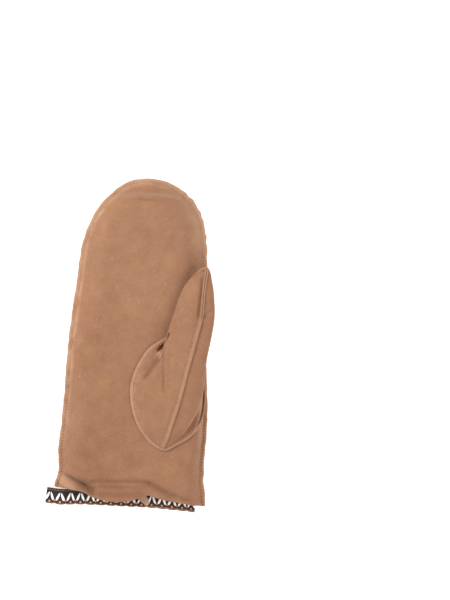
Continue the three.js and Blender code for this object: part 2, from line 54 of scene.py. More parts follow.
MERGE_MM = 0.004
SHARP_ANGLE = math.radians(48)
RIM_BULGE = 0.7
FOLD_END = 0.16
SLOPE_STEP = 0.25
TINY = 1e-9
MIX_INPUTS = (0, 6, 7)
MIX_OUTPUT = 2

Array = np.ndarray
Colour = tuple[float, float, float]
Spot = tuple[float, float, float]
Span = tuple[float, float]
Height = Callable[[Array, Array], Array]


class Slot(Enum):
    """The material slots of the record that the pieces take."""

    SUEDE = "suede"
    BAND = "woven_band"
    STRIP = "suede_strip"


# Tables


class SideRow(NamedTuple):
    """One height up the sides: the seam's edges, the palm's rise over the seam, and how far in it levels."""

    y: float
    left: float
    right: float
    rise: float
    roll_left: float
    roll_right: float


class TipRow(NamedTuple):
    """One direction from the centre of the fingertips, and how far off the edge is."""

    angle: float
    radius: float


class EdgeRow(NamedTuple):
    """One point of an edge or an outline, in plan."""

    x: float
    y: float


class FoldRow(NamedTuple):
    """One soft fold: a bowed line, its width to each side, and how much it lifts or sinks the suede."""

    name: str
    from_x: float
    from_y: float
    to_x: float
    to_y: float
    bow: float
    width: float
    lift: float


class ThumbRow(NamedTuple):
    """One section of the thumb, through six points whose heights are over the palm's top."""

    seam: Spot
    right: Spot
    under: Spot
    web: Spot
    gusset: Spot
    left: Spot
    fill_right: float
    fill_under: float
    fill_left: float


class SwellRow(NamedTuple):
    """One soft swell of the hide: its height, and the two waves in plan that it is the product of."""

    height: float
    first_x: float
    first_y: float
    first_start: float
    second_x: float
    second_y: float
    second_start: float


class WaveRow(NamedTuple):
    """One ripple along a seam: its height, its length for each radian, and how far on it starts."""

    height: float
    length: float
    start: float


class SeamRow(NamedTuple):
    """One point of the raised seam's section, in half widths across and in heights up."""

    side: float
    rise: float


SIDES = (
    SideRow(-126, -59.6, 57.6, 7.5, 18, 18),
    SideRow(-112, -58.9, 56.6, 8.0, 18, 17),
    SideRow(-104, -56.9, 54.9, 8.6, 17, 15),
    SideRow(-98, -55.8, 55.0, 9.2, 18, 13),
    SideRow(-91, -56.6, 55.0, 9.8, 19, 11),
    SideRow(-82, -56.8, 55.2, 10.6, 20, 9),
    SideRow(-60, -55.1, 56.1, 11.5, 21, 6),
    SideRow(-36, -53.9, 55.2, 11.5, 22, 5),
    SideRow(-8, -53.0, 53.0, 11.5, 22, 8),
    SideRow(22, -50.8, 52.4, 11.2, 22, 18),
    SideRow(48, -47.9, 51.8, 10.6, 22, 22),
    SideRow(70, -46.0, 50.5, 10.0, 22, 22),
)
FINGERTIPS = (
    TipRow(0, 48.0),
    TipRow(20, 49.2),
    TipRow(36, 52.9),
    TipRow(52, 55.8),
    TipRow(70, 57.9),
    TipRow(92, 58.2),
    TipRow(108, 56.2),
    TipRow(122, 52.7),
    TipRow(136, 50.2),
    TipRow(152, 48.0),
    TipRow(166, 47.4),
    TipRow(180, 48.5),
)
PALM_CUFF = (
    EdgeRow(-58, -111.6),
    EdgeRow(-45, -112.3),
    EdgeRow(-38, -113.6),
    EdgeRow(-32, -116.3),
    EdgeRow(-25, -118.6),
    EdgeRow(-16, -120.1),
    EdgeRow(-8, -120.2),
    EdgeRow(1, -119.2),
    EdgeRow(8, -116.3),
    EdgeRow(14, -114.7),
    EdgeRow(20, -115.9),
    EdgeRow(30, -118.0),
    EdgeRow(40, -119.4),
    EdgeRow(48, -121.0),
    EdgeRow(58.4, -122.2),
)
BACK_CUFF = (
    EdgeRow(-58, -110.8),
    EdgeRow(-49, -111.6),
    EdgeRow(-38, -114.6),
    EdgeRow(0, -116.2),
    EdgeRow(58.4, -118.6),
)
FOLDS = (
    FoldRow("rise of the cuff", -66, -115, 66, -115, 0, 11.0, 2.8),
    FoldRow("cuff flap, left", -60, -107.5, -34, -119.0, 2.5, 3.0, 2.4),
    FoldRow("cuff hollow, left", -61, -99.6, -32.0, -110.4, 0.8, 2.2, -4.2),
    FoldRow("cuff hollow at the seam", -63, -98.6, -42.0, -105.6, 0.4, 2.1, -4.6),
    FoldRow("cuff valley, left", -46, -104.8, -25.5, -118.5, 2.2, 2.3, -4.0),
    FoldRow("cuff slope, middle", -44, -112.4, 20, -111.6, 0, 5.6, -7.0),
    FoldRow("cuff roll, middle", -30, -118.6, 12, -116.0, -1.5, 2.4, 1.9),
    FoldRow("cuff crease, middle", -36, -107.0, 18, -105.6, 0.6, 1.6, -1.9),
    FoldRow("cuff crease, right", 9, -103.2, 54, -119.6, -2.2, 2.3, -4.9),
    FoldRow("cuff roll, right", 14, -110.0, 58, -121, -1.5, 3.2, 2.4),
    FoldRow("dent across the wrist", -44, -88, 24, -92, -3, 13, -1.2),
    FoldRow("hollow of the palm", -22, -60, -24, 30, 4, 20, -1.2),
    FoldRow("crease by the fingertips", -20, 118.0, 44, 116.0, 1.5, 2.2, -3.0),
    FoldRow("roll by the fingertips", -26, 113.4, 48, 111.6, 1.2, 1.9, 3.8),
    FoldRow("dent beside the fingers", 22, 84, 46, 70, 2, 9, -1.2),
)
SWELLS = (
    SwellRow(0.28, 9.0, 17.0, 0, -31.0, 12.5, 1),
    SwellRow(0.16, 5.1, -7.7, 2, 14.0, 6.3, 0),
)
EDGE_WAVES = (
    WaveRow(0.12, 2.1, 1),
    WaveRow(0.12, 4.3, 0),
    WaveRow(0.07, 1.3, 0),
)
SHOULDER_WAVES = (
    WaveRow(0.28, 1.55, 0),
    WaveRow(0.2, 1.02, 0.6),
)
THUMB_FOOT = (
    EdgeRow(23.8, -79.3),
    EdgeRow(33.5, -75.3),
    EdgeRow(46.3, -66.2),
    EdgeRow(53.3, -51.0),
    EdgeRow(53.2, -27.0),
    EdgeRow(43.5, 8.0),
    EdgeRow(33.0, 19.0),
    EdgeRow(24.0, 8.0),
    EdgeRow(8.2, -4.4),
    EdgeRow(-2.3, -28.5),
    EdgeRow(0.3, -52.8),
    EdgeRow(10.9, -71.0),
)
THUMB_SECTIONS = (
    ThumbRow((24.2, -75.6, 2.4), (51.0, -38.5, 0.6), (28.4, 17.6, 2.8),
             (22.8, 5.4, 1.4), (12.6, -11.5, 1.2), (2.6, -28.8, 1.5), 0.9, 0.93, 0.94),
    ThumbRow((27.0, -68.5, 6.0), (52.0, -34.0, 4.6), (30.0, 20.5, 4.6),
             (22.6, 2.6, 2.8), (15.8, -10.8, 2.6), (7.4, -26.6, 2.9), 0.94, 0.94, 0.97),
    ThumbRow((30.1, -58.0, 9.0), (52.8, -26.0, 6.8), (33.4, 26.5, 4.2),
             (23.4, 5.0, 4.8), (19.6, -7.0, 4.6), (13.5, -20.0, 4.8), 1.0, 0.96, 1.0),
    ThumbRow((34.9, -41.0, 11.6), (53.4, -15.0, 7.6), (36.5, 32.0, 3.2),
             (27.4, 17.0, 4.4), (22.4, 1.0, 5.8), (20.6, -10.0, 6.4), 1.0, 0.98, 1.04),
    ThumbRow((39.9, -18.0, 13.0), (54.6, -1.0, 7.4), (39.5, 38.0, 2.4),
             (31.6, 29.0, 3.2), (25.4, 13.5, 5.4), (22.8, 2.5, 6.8), 1.0, 1.0, 1.06),
    ThumbRow((45.3, 5.0, 13.2), (56.8, 14.0, 7.4), (42.5, 44.0, 2.1),
             (35.3, 39.7, 2.7), (30.3, 31.3, 4.4), (28.2, 20.0, 6.8), 1.02, 1.02, 1.07),
    ThumbRow((49.4, 25.0, 12.6), (58.2, 28.0, 7.2), (45.5, 50.0, 2.1),
             (39.0, 49.1, 2.5), (34.5, 44.0, 4.3), (33.6, 36.5, 6.8), 1.02, 1.02, 1.07),
    ThumbRow((50.2, 42.0, 11.0), (57.2, 42.5, 6.9), (48.3, 55.3, 2.6),
             (44.0, 55.5, 3.0), (41.0, 53.6, 4.4), (40.2, 50.0, 6.5), 1.0, 1.0, 1.05),
    ThumbRow((51.0, 52.0, 9.4), (55.2, 52.5, 6.6), (49.6, 58.6, 3.3),
             (47.2, 59.0, 3.6), (45.6, 58.4, 4.7), (45.2, 56.8, 6.2), 1.0, 1.0, 1.0),
    ThumbRow((51.6, 57.4, 7.6), (54.0, 57.6, 6.1), (50.9, 60.8, 4.2),
             (49.5, 61.1, 4.4), (48.6, 60.8, 5.0), (48.4, 60.0, 5.9), 1.0, 1.0, 1.0),
)
THUMB_TIP = (51.3, 61.2, 5.7)
SEAM_LAP = (
    SeamRow(-1.9, -0.1),
    SeamRow(-1.7, 0.1),
    SeamRow(-1.45, 0.34),
    SeamRow(-1.1, 0.7),
    SeamRow(-0.5, 0.82),
    SeamRow(0.2, 0.9),
    SeamRow(0.8, 0.92),
    SeamRow(1.1, 0.72),
    SeamRow(1.12, 0.4),
    SeamRow(1.0, 0.15),
    SeamRow(0.9, -0.1),
)
SEAM_LIPS = (
    SeamRow(-1.0, -0.1),
    SeamRow(-1.04, 0.55),
    SeamRow(-0.9, 0.9),
    SeamRow(-0.5, 1.0),
    SeamRow(-0.14, 0.85),
    SeamRow(0.0, 0.15),
    SeamRow(0.14, 0.85),
    SeamRow(0.5, 1.0),
    SeamRow(0.9, 0.9),
    SeamRow(1.04, 0.55),
    SeamRow(1.0, -0.1),
)
THUMB_FOLDS = (
    FoldRow("step beside the stall", 22.6, 4, 23.2, -40, -0.3, 1.2, -1.3),
    FoldRow("edge of the stall", 24.9, 8, 25.1, -36, -0.3, 1.5, 1.1),
    FoldRow("valley of the gusset", 18.4, -8.0, 6.5, -27, 0.2, 1.8, -2.7),
    FoldRow("roll of the gusset", 22.0, -11, 13.5, -27, 0.6, 2.4, 0.8),
    FoldRow("puff by the cleft", 18.0, -9.6, 20.0, -2.2, 0, 2.2, 1.5),
    FoldRow("cleft over the puff", 25.0, 12.0, 17.2, -5.4, -0.3, 1.4, -4.2),
    FoldRow("crease at the knuckle", 50.2, 23.0, 57.8, 29.8, 0.4, 1.4, -0.9),
    FoldRow("dip beside the seam", 49.4, 57, 46.9, 20, 0.3, 1.7, -1.4),
    FoldRow("flange at the tip", 41.0, 52.6, 52.0, 59.4, 1.4, 0.9, -1.6),
)
BAND_EDGE = (
    EdgeRow(-65.4, -125.0),
    EdgeRow(-54, -125.8),
    EdgeRow(-38, -125.3),
    EdgeRow(-4, -125.5),
    EdgeRow(16, -125.7),
    EdgeRow(34, -126.8),
    EdgeRow(50.3, -127.6),
)


# Curves


def mix(start: Any, end: Any, share: Any) -> Any:
    """Return the value a share of the way from start to end."""
    return start + (end - start) * share


def smooth(share: Any) -> Any:
    """Return a share from 0 to 1 eased at both ends."""
    return share * share * (3 - 2 * share)


def eased(value: Any, start: float, end: float) -> Any:
    """Return 0 at start and 1 at end, eased between them and flat beyond."""
    return smooth(np.clip((value - start) / (end - start), 0, 1))


def unit(vectors: Array) -> Array:
    """Return the vectors scaled to length 1."""
    return vectors / np.maximum(np.linalg.norm(vectors, axis=-1, keepdims=True), TINY)


def bell(value: Any, width: float) -> Any:
    """Return 1 at zero, falling softly to nothing a few widths off."""
    return np.exp(-((value / width) ** 2))


def closed(ring: Array) -> Array:
    """Return a ring of rows with its first row again at its end."""
    return np.concatenate([ring, ring[:1]])


def hermite(start: Any, rise: Any, first: Any, second: Any, t: Any) -> Any:
    """Return places on a smooth span.

    Args:
        start: The span's first value.
        rise: How much higher its last value is.
        first: The slope at its start.
        second: The slope at its end.
        t: How far along the span the places are, from 0 to 1.

    Returns:
        The values there.
    """
    return start + t * (first + t * (3 * rise - 2 * first - second + t * (first + second - 2 * rise)))


class RowCurve:
    """A smooth curve through rows of numbers or points."""

    def __init__(self, at: Sequence[float], values: Any, end_slope: Optional[Array] = None) -> None:
        """Work out the slope at each row.

        Args:
            at: Where each row is, rising.
            values: The rows, as numbers or arrays of one shape.
            end_slope: The slope at the last row, or None for the slope of the last span.
        """
        self.at = np.asarray(at, float)
        self.values = np.asarray(values, float)
        last = len(self.at) - 1
        before = np.maximum(np.arange(last + 1) - 1, 0)
        after = np.minimum(np.arange(last + 1) + 1, last)
        run = (self.at[after] - self.at[before]).reshape((-1,) + (1,) * (self.values.ndim - 1))
        self.slopes = (self.values[after] - self.values[before]) / run
        if end_slope is not None:
            self.slopes[last] = end_slope

    def __call__(self, where: Any) -> Array:
        """Read the curve.

        Args:
            where: The places.

        Returns:
            The curve's values there.
        """
        where = np.clip(np.asarray(where, float), self.at[0], self.at[-1])
        span = np.clip(np.searchsorted(self.at, where, side="right") - 1, 0, len(self.at) - 2)
        shape = where.shape + (1,) * (self.values.ndim - 1)
        width = (self.at[span + 1] - self.at[span]).reshape(shape)
        t = (where - self.at[span]).reshape(shape) / width
        rise = self.values[span + 1] - self.values[span]
        first, second = self.slopes[span] * width, self.slopes[span + 1] * width
        return hermite(self.values[span], rise, first, second, t)


def table_curve(rows: Sequence[NamedTuple], by: str, column: str) -> RowCurve:
    """Return the curve through one column of a table, read by another column."""
    return RowCurve([getattr(row, by) for row in rows], [getattr(row, column) for row in rows])


def closed_spline(points: Array, per_span: int) -> Array:
    """Sample a closed smooth curve that meets every point.

    Args:
        points: The points, one to a row.
        per_span: How many samples each span gets.

    Returns:
        The samples, one to a row.
    """
    before, after, beyond = (np.roll(points, shift, axis=0) for shift in (1, -1, -2))
    start, end = 0.5 * (after - before), 0.5 * (beyond - points)
    t = (np.arange(per_span) / per_span).reshape(1, -1, 1)
    rise = (after - points)[:, None]
    first, second = start[:, None], end[:, None]
    return hermite(points[:, None], rise, first, second, t).reshape(-1, points.shape[1])


def run_lengths(path: Array) -> Array:
    """Return how far along a path each of its points is."""
    steps = np.linalg.norm(np.diff(path, axis=0), axis=1)
    return np.concatenate([[0.0], np.cumsum(steps)])


def read_along(rows: Array, lengths: Array, at: Array) -> Array:
    """Return rows of numbers read at the given lengths, between the lengths that they belong to."""
    return np.stack([np.interp(at, lengths, column) for column in rows.T], axis=1)


def resampled(path: Array, at: Array) -> Array:
    """Return the points of a path at the given lengths along it."""
    return read_along(path, run_lengths(path), at)


def on_field(height: Height, x: Array, y: Array, lift: float) -> tuple[Array, Array]:
    """Set points of the plan against a height field.

    Args:
        height: The field.
        x: The points' places across.
        y: The points' places along.
        lift: How far they are moved along the field's upward normal.

    Returns:
        The points, and the normals there.
    """
    step = SLOPE_STEP
    slope_x = (height(x + step, y) - height(x - step, y)) / (2 * step)
    slope_y = (height(x, y + step) - height(x, y - step)) / (2 * step)
    normal = unit(np.stack([-slope_x, -slope_y, np.ones_like(slope_x)], axis=-1))
    return np.stack([x, y, height(x, y)], axis=-1) + normal * lift, normal


def waves(rows: Sequence[WaveRow], run: Array) -> Array:
    """Return the ripples of a table at places along a seam."""
    return sum(row.height * np.sin(run / row.length + row.start) for row in rows)


def fold_lift(folds: Sequence[FoldRow], x: Array, y: Array) -> Array:
    """Add up folds.

    Args:
        folds: The folds.
        x: Places across.
        y: Places along.

    Returns:
        The height that the folds add at the places.
    """
    total = np.zeros_like(x)
    for fold in folds:
        dx, dy = fold.to_x - fold.from_x, fold.to_y - fold.from_y
        length = math.hypot(dx, dy)
        along = ((x - fold.from_x) * dx + (y - fold.from_y) * dy) / length**2
        across = ((y - fold.from_y) * dx - (x - fold.from_x) * dy) / length
        off = (across - fold.bow * 4 * along * (1 - along)) / fold.width
        ends = eased(along, 0, FOLD_END) * eased(1 - along, 0, FOLD_END)
        total = total + fold.lift * ends * np.exp(-off * off)
    return total


# The form of the hand


@dataclass(frozen=True)
class HandShape:
    """The form of the mitten's two panels, which its other pieces are set against."""

    suede: float = 1.4
    gap: float = 0.3
    seam_width: float = 2.6
    seam_height: float = 6.6
    seam_drop: float = 1.8
    drop_reach: float = 6.0
    soft_start: float = 0.12
    back_roll: float = 16.0
    centre_x: float = 2.5
    tip_centre_y: float = 70.0
    mitre: float = 2.5
    cuff_row_y: float = -118.0
    cuff_fade: float = 42.0
    soft_roll: float = 26.0
    sewn_room: float = 0.35
    curves: dict = field(default_factory=lambda: {
        name: table_curve(SIDES, "y", name) for name in ("left", "right", "rise", "roll_left", "roll_right")
    })
    tip_radius: RowCurve = field(default_factory=lambda: table_curve(FINGERTIPS, "angle", "radius"))
    palm_cuff: RowCurve = field(default_factory=lambda: table_curve(PALM_CUFF, "x", "y"))
    back_cuff: RowCurve = field(default_factory=lambda: table_curve(BACK_CUFF, "x", "y"))
    band_edge: RowCurve = field(default_factory=lambda: table_curve(BAND_EDGE, "x", "y"))

    def inset(self, x: Array, y: Array) -> tuple[Array, Array]:
        """Say how far in from the edge points of the plan are.

        Args:
            x: The points' places across.
            y: The points' places along.

        Returns:
            How far in each is, and how far in from the seam the palm levels out there.
        """
        low = np.minimum(y, self.tip_centre_y)
        left_side = x < self.centre_x
        curves = self.curves
        depth = np.where(left_side, x - curves["left"](low), curves["right"](low) - x)
        roll = np.where(left_side, curves["roll_left"](low), curves["roll_right"](low))
        up = np.maximum(y - self.tip_centre_y, 0)
        angle = np.degrees(np.arctan2(up, x - self.centre_x))
        tip_depth = self.tip_radius(angle) - np.hypot(x - self.centre_x, y - self.tip_centre_y)
        last = SIDES[-1]
        tip_roll = mix(last.roll_right, last.roll_left, angle / 180)
        beyond = y > self.tip_centre_y
        return np.where(beyond, tip_depth, depth), np.where(beyond, tip_roll, roll)

    def levelled(self, depth: Array, roll: Any) -> Array:
        """Say how far a panel has risen from its seam.

        Args:
            depth: How far in from the edge the points are.
            roll: How far in from the seam the panel levels out.

        Returns:
            0 on the seam and 1 where the panel is level.
        """
        share = np.clip((depth - self.seam_width) / roll, 0, 1)
        share = share * share * (1 + self.soft_start) / (share + self.soft_start)
        return 1 - (1 - share) ** self.mitre

    def seam_level(self, depth: Array) -> Array:
        """Return the height of the seam between the panels, which slopes down to its edge."""
        return self.seam_height - self.seam_drop * (1 - eased(depth, 0, self.drop_reach))

    def palm(self, x: Array, y: Array) -> Array:
        """Work out the height of the middle of the palm's suede.

        Args:
            x: The places across the mitten.
            y: The places along it.

        Returns:
            The heights.
        """
        depth, roll = self.inset(x, y)
        rise = self.curves["rise"](y) + fold_lift(FOLDS, x, y)
        return self.seam_level(depth) + (self.suede + self.gap) / 2 + self.levelled(depth, roll) * rise

    def back(self, x: Array, y: Array) -> Array:
        """Work out the height of the middle of the back's suede.

        Args:
            x: The places across the mitten.
            y: The places along it.

        Returns:
            The heights.
        """
        depth = self.inset(x, y)[0]
        seam = self.seam_level(depth) - (self.suede + self.gap) / 2
        return mix(seam, self.suede / 2, self.levelled(depth, self.back_roll))

    def soft(self, x: Array, y: Array) -> Array:
        """Return the shallow unevenness that a relaxed hide has."""
        return sum(row.height * np.sin(x / row.first_x + y / row.first_y + row.first_start)
                   * np.sin(x / row.second_x + y / row.second_y + row.second_start) for row in SWELLS)

    def sewn_under(self, x: Array, y: Array) -> Array:
        """Return the height of the palm that what is sewn inside it follows, with room for a relief."""
        level = self.levelled(self.inset(x, y)[0], self.soft_roll)
        return self.palm(x, y) + self.soft(x, y) * level - self.sewn_room

    @property
    def palm_top(self) -> float:
        """Return the height of the palm's outer face where it is level and highest."""
        return self.seam_height + self.gap / 2 + self.suede + max(row.rise for row in SIDES)


# Meshes


class MeshParts:
    """Gathers the points and faces of one mesh, in millimetres."""

    def __init__(self) -> None:
        """Start with nothing."""
        self.points: list[Array] = []
        self.marks: list[Array] = []
        self.faces: list[Array] = []
        self.count = 0

    def add(self, points: Array, marks: Optional[Array] = None) -> Array:
        """Add points.

        Args:
            points: The points, in an array of any shape whose last axis is x, y and z.
            marks: Three numbers for each point that its finish can read, or None for zeros.

        Returns:
            The points' numbers in the mesh, in the shape of the array.
        """
        shape = points.shape[:-1]
        total = int(np.prod(shape))
        self.points.append(points.reshape(-1, 3))
        self.marks.append(np.zeros((total, 3)) if marks is None else marks.reshape(-1, 3))
        numbers = np.arange(self.count, self.count + total).reshape(shape)
        self.count += total
        return numbers

    def weave(self, grid: Array, around: bool = False, keep: Optional[Array] = None) -> None:
        """Fill a grid of point numbers with faces.

        Args:
            grid: The numbers, in rows and columns.
            around: Whether the last column joins the first.
            keep: Which of the faces are made, or None for all.
        """
        if around:
            grid = np.concatenate([grid, grid[:, :1]], axis=1)
        quads = np.stack([grid[:-1, :-1], grid[:-1, 1:], grid[1:, 1:], grid[1:, :-1]], axis=-1)
        self.faces.append((quads if keep is None else quads[keep]).reshape(-1, 4))

    def cap(self, ring: Array, centre: Array) -> None:
        """Close a ring of point numbers with a fan round a new point."""
        middle = int(self.add(centre.reshape(1, 3))[0])
        self.faces.append(np.stack([ring, np.roll(ring, -1), np.full_like(ring, middle)], axis=-1))

    def piece(self, name: str, material: bpy.types.Material) -> bpy.types.Object:
        """Make the object.

        Args:
            name: The object's name.
            material: What it is made of.

        Returns:
            The object, in metres, with merged points, outward faces and smooth shading.
        """
        points = np.concatenate(self.points) * MM
        faces = [face for block in self.faces for face in block.tolist()]
        mesh = bpy.data.meshes.new(name)
        mesh.from_pydata(points.tolist(), [], faces)
        marks = mesh.attributes.new("marks", "FLOAT_VECTOR", "POINT")
        marks.data.foreach_set("vector", np.concatenate(self.marks).astype(np.float32).ravel())
        shape = bmesh.new()
        shape.from_mesh(mesh)
        bmesh.ops.remove_doubles(shape, verts=shape.verts, dist=MERGE_MM * MM)
        bmesh.ops.dissolve_degenerate(shape, edges=shape.edges, dist=MERGE_MM * MM / 4)
        bmesh.ops.recalc_face_normals(shape, faces=shape.faces)
        shape.to_mesh(mesh)
        shape.free()
        mesh.shade_smooth()
        mesh.set_sharp_from_angle(angle=SHARP_ANGLE)
        mesh.materials.append(material)
        return placed(name, mesh)


def placed(name: str, data: bpy.types.ID) -> bpy.types.Object:
    """Put a new object into the scene.

    Args:
        name: The object's name.
        data: Its mesh, camera or light.

    Returns:
        The object.
    """
    made = bpy.data.objects.new(name, data)
    bpy.context.scene.collection.objects.link(made)
    return made


def ring_points(middle: Array, normal: Array, out: Array, thickness: float, steps: int = 3) -> Array:
    """Return the rounded rim points beside an edge.

    Args:
        middle: The edge's points, in the middle of the sheet.
        normal: The sheet's normals there.
        out: The directions out of the sheet there.
        thickness: The sheet's thickness.
        steps: How many points the rim has between its two faces.

    Returns:
        The points, a row for each step from the upper face to the lower one.
    """
    turns = [math.pi * (step + 1) / (steps + 1) for step in range(steps)]
    half = thickness / 2
    bulge = RIM_BULGE * half
    return np.stack([middle + normal * (half * math.cos(t)) + out * (bulge * math.sin(t)) for t in turns])


@dataclass
class Sheet:
    """A sheet with two faces and a rounded rim, from a grid of points in its middle.

    Attributes:
        middle: The grid of points, in rows and columns.
        normal: The upward normals at the points.
        thickness: How thick the sheet is.
        marks: Three numbers for each point that the finish can read.
    """

    middle: Array
    normal: Array
    thickness: float
    marks: Array

    def outward(self) -> Array:
        """Work out which way is out of the sheet at its border.

        Returns:
            The directions at the border, and zeros elsewhere.
        """
        out = np.zeros_like(self.middle)
        out[0] += unit(self.middle[0] - self.middle[1])
        out[-1] += unit(self.middle[-1] - self.middle[-2])
        out[:, 0] += unit(self.middle[:, 0] - self.middle[:, 1])
        return out

    def into(self, parts: MeshParts, keep: Optional[Array] = None, free_end: bool = True) -> None:
        """Add the sheet to a mesh.

        Args:
            parts: The mesh.
            keep: Which faces of the grid are made, or None for all.
            free_end: Whether the last column is an edge of the sheet too.
        """
        half = self.normal * (self.thickness / 2)
        upper = parts.add(self.middle + half, self.marks)
        lower = parts.add(self.middle - half, self.marks)
        parts.weave(upper, keep=keep)
        parts.weave(lower, keep=keep)
        rows, columns = self.middle.shape[:2]
        out = self.outward()
        border = [(0, j) for j in range(columns - 1, 0, -1)] + [(i, 0) for i in range(rows - 1)]
        border += [(rows - 1, j) for j in range(columns - 1 if free_end else columns)]
        if free_end:
            out[:, -1] += unit(self.middle[:, -1] - self.middle[:, -2])
            border += [(i, columns - 1) for i in range(rows - 1, -1, -1)]
        at = tuple(np.array(border).T)
        rim = ring_points(self.middle[at], self.normal[at], unit(out[at]), self.thickness)
        numbers = parts.add(rim, np.broadcast_to(self.marks[at], rim.shape))
        parts.weave(np.concatenate([upper[at][None], numbers, lower[at][None]]))
        if keep is not None:
            self.close_hole(parts, upper, lower, keep)

    @staticmethod
    def close_hole(parts: MeshParts, upper: Array, lower: Array, keep: Array) -> None:
        """Join the two faces round an opening.

        Args:
            parts: The mesh.
            upper: The upper face's point numbers.
            lower: The lower face's.
            keep: Which faces of the grid are made, all but those in the opening.
        """
        down, across = np.nonzero(keep[:-1] != keep[1:]), np.nonzero(keep[:, :-1] != keep[:, 1:])
        sides = [((i + 1, j), (i + 1, j + 1)) for i, j in zip(*down)]
        sides += [((i, j + 1), (i + 1, j + 1)) for i, j in zip(*across)]
        quads = [[upper[a], upper[b], lower[b], lower[a]] for a, b in sides]
        parts.faces.append(np.array(quads))


def inside(outline: Array, x: Array, y: Array) -> Array:
    """Say which points of the plan lie inside a closed outline.

    Args:
        outline: The outline.
        x: The points' places across.
        y: The points' places along.

    Returns:
        True for each point inside.
    """
    within = np.zeros(x.shape, bool)
    for (ax, ay), (bx, by) in zip(outline, np.roll(outline, -1, axis=0)):
        if ay == by:
            continue
        crosses = (ay > y) != (by > y)
        within ^= crosses & (x < ax + (y - ay) * (bx - ax) / (by - ay))
    return within


def inset_outline(outline: Array, distance: float) -> Array:
    """Return a closed plan outline moved inwards by a distance. The outline turns anticlockwise."""
    along = unit(np.roll(outline, -1, axis=0) - np.roll(outline, 1, axis=0))
    return outline + np.stack([-along[:, 1], along[:, 0]], axis=1) * distance


# Shader nodes


class Value:
    """A number that changes over a surface, held as the socket of a node."""

    def __init__(self, maker: "NodeMaker", socket: bpy.types.NodeSocket) -> None:
        """Keep the socket and what adds nodes beside it."""
        self.maker = maker
        self.socket = socket

    def work(self, operation: str, *others: Any) -> "Value":
        """Return the result of a Math node on this value and others."""
        return self.maker.maths(operation, self, *others)

    def __add__(self, other: Any) -> "Value":
        """Return the sum."""
        return self.work("ADD", other)

    __radd__ = __add__

    def __sub__(self, other: Any) -> "Value":
        """Return the difference."""
        return self.work("SUBTRACT", other)

    def __rsub__(self, other: Any) -> "Value":
        """Return the difference the other way round."""
        return self.maker.maths("SUBTRACT", other, self)

    def __mul__(self, other: Any) -> "Value":
        """Return the product."""
        return self.work("MULTIPLY", other)

    __rmul__ = __mul__

    def __truediv__(self, other: Any) -> "Value":
        """Return the quotient."""
        return self.work("DIVIDE", other)

    def __pow__(self, other: Any) -> "Value":
        """Return the power."""
        return self.work("POWER", other)

    def held(self) -> "Value":
        """Return the value held between 0 and 1."""
        return self.work("MAXIMUM", 0.0).work("MINIMUM", 1.0)

    def past(self, start: float, steep: float) -> "Value":
        """Return 0 up to a start and 1 some way past it, or the other way round where steep is negative."""
        return ((self - start) * steep).held()

    def near(self, middle: float, reach: float, top: float) -> "Value":
        """Return 1 near a middle, falling to 0 where the distance is top times reach."""
        return (top - (self - middle).work("ABSOLUTE") / reach).held()


class NodeMaths:
    """The few functions that a pattern needs, as shader nodes."""

    @staticmethod
    def absolute(value: Value) -> Value:
        """Return the size of a value without its sign."""
        return value.work("ABSOLUTE")

    @staticmethod
    def clamp(value: Value) -> Value:
        """Return a value held between 0 and 1."""
        return value.held()

    @staticmethod
    def part(value: Value) -> Value:
        """Return what a value has past its whole number."""
        return value.work("FRACT")

    @staticmethod
    def root(value: Value) -> Value:
        """Return the square root."""
        return value.work("SQRT")


class ArrayMaths:
    """The same functions on arrays of numbers."""

    @staticmethod
    def absolute(value: Array) -> Array:
        """Return the size of a value without its sign."""
        return np.abs(value)

    @staticmethod
    def clamp(value: Array) -> Array:
        """Return a value held between 0 and 1."""
        return np.clip(value, 0.0, 1.0)

    @staticmethod
    def part(value: Array) -> Array:
        """Return what a value has past its whole number."""
        return value - np.floor(value)

    @staticmethod
    def root(value: Array) -> Array:
        """Return the square root."""
        return np.sqrt(value)


Maths = Union[type[NodeMaths], type[ArrayMaths]]


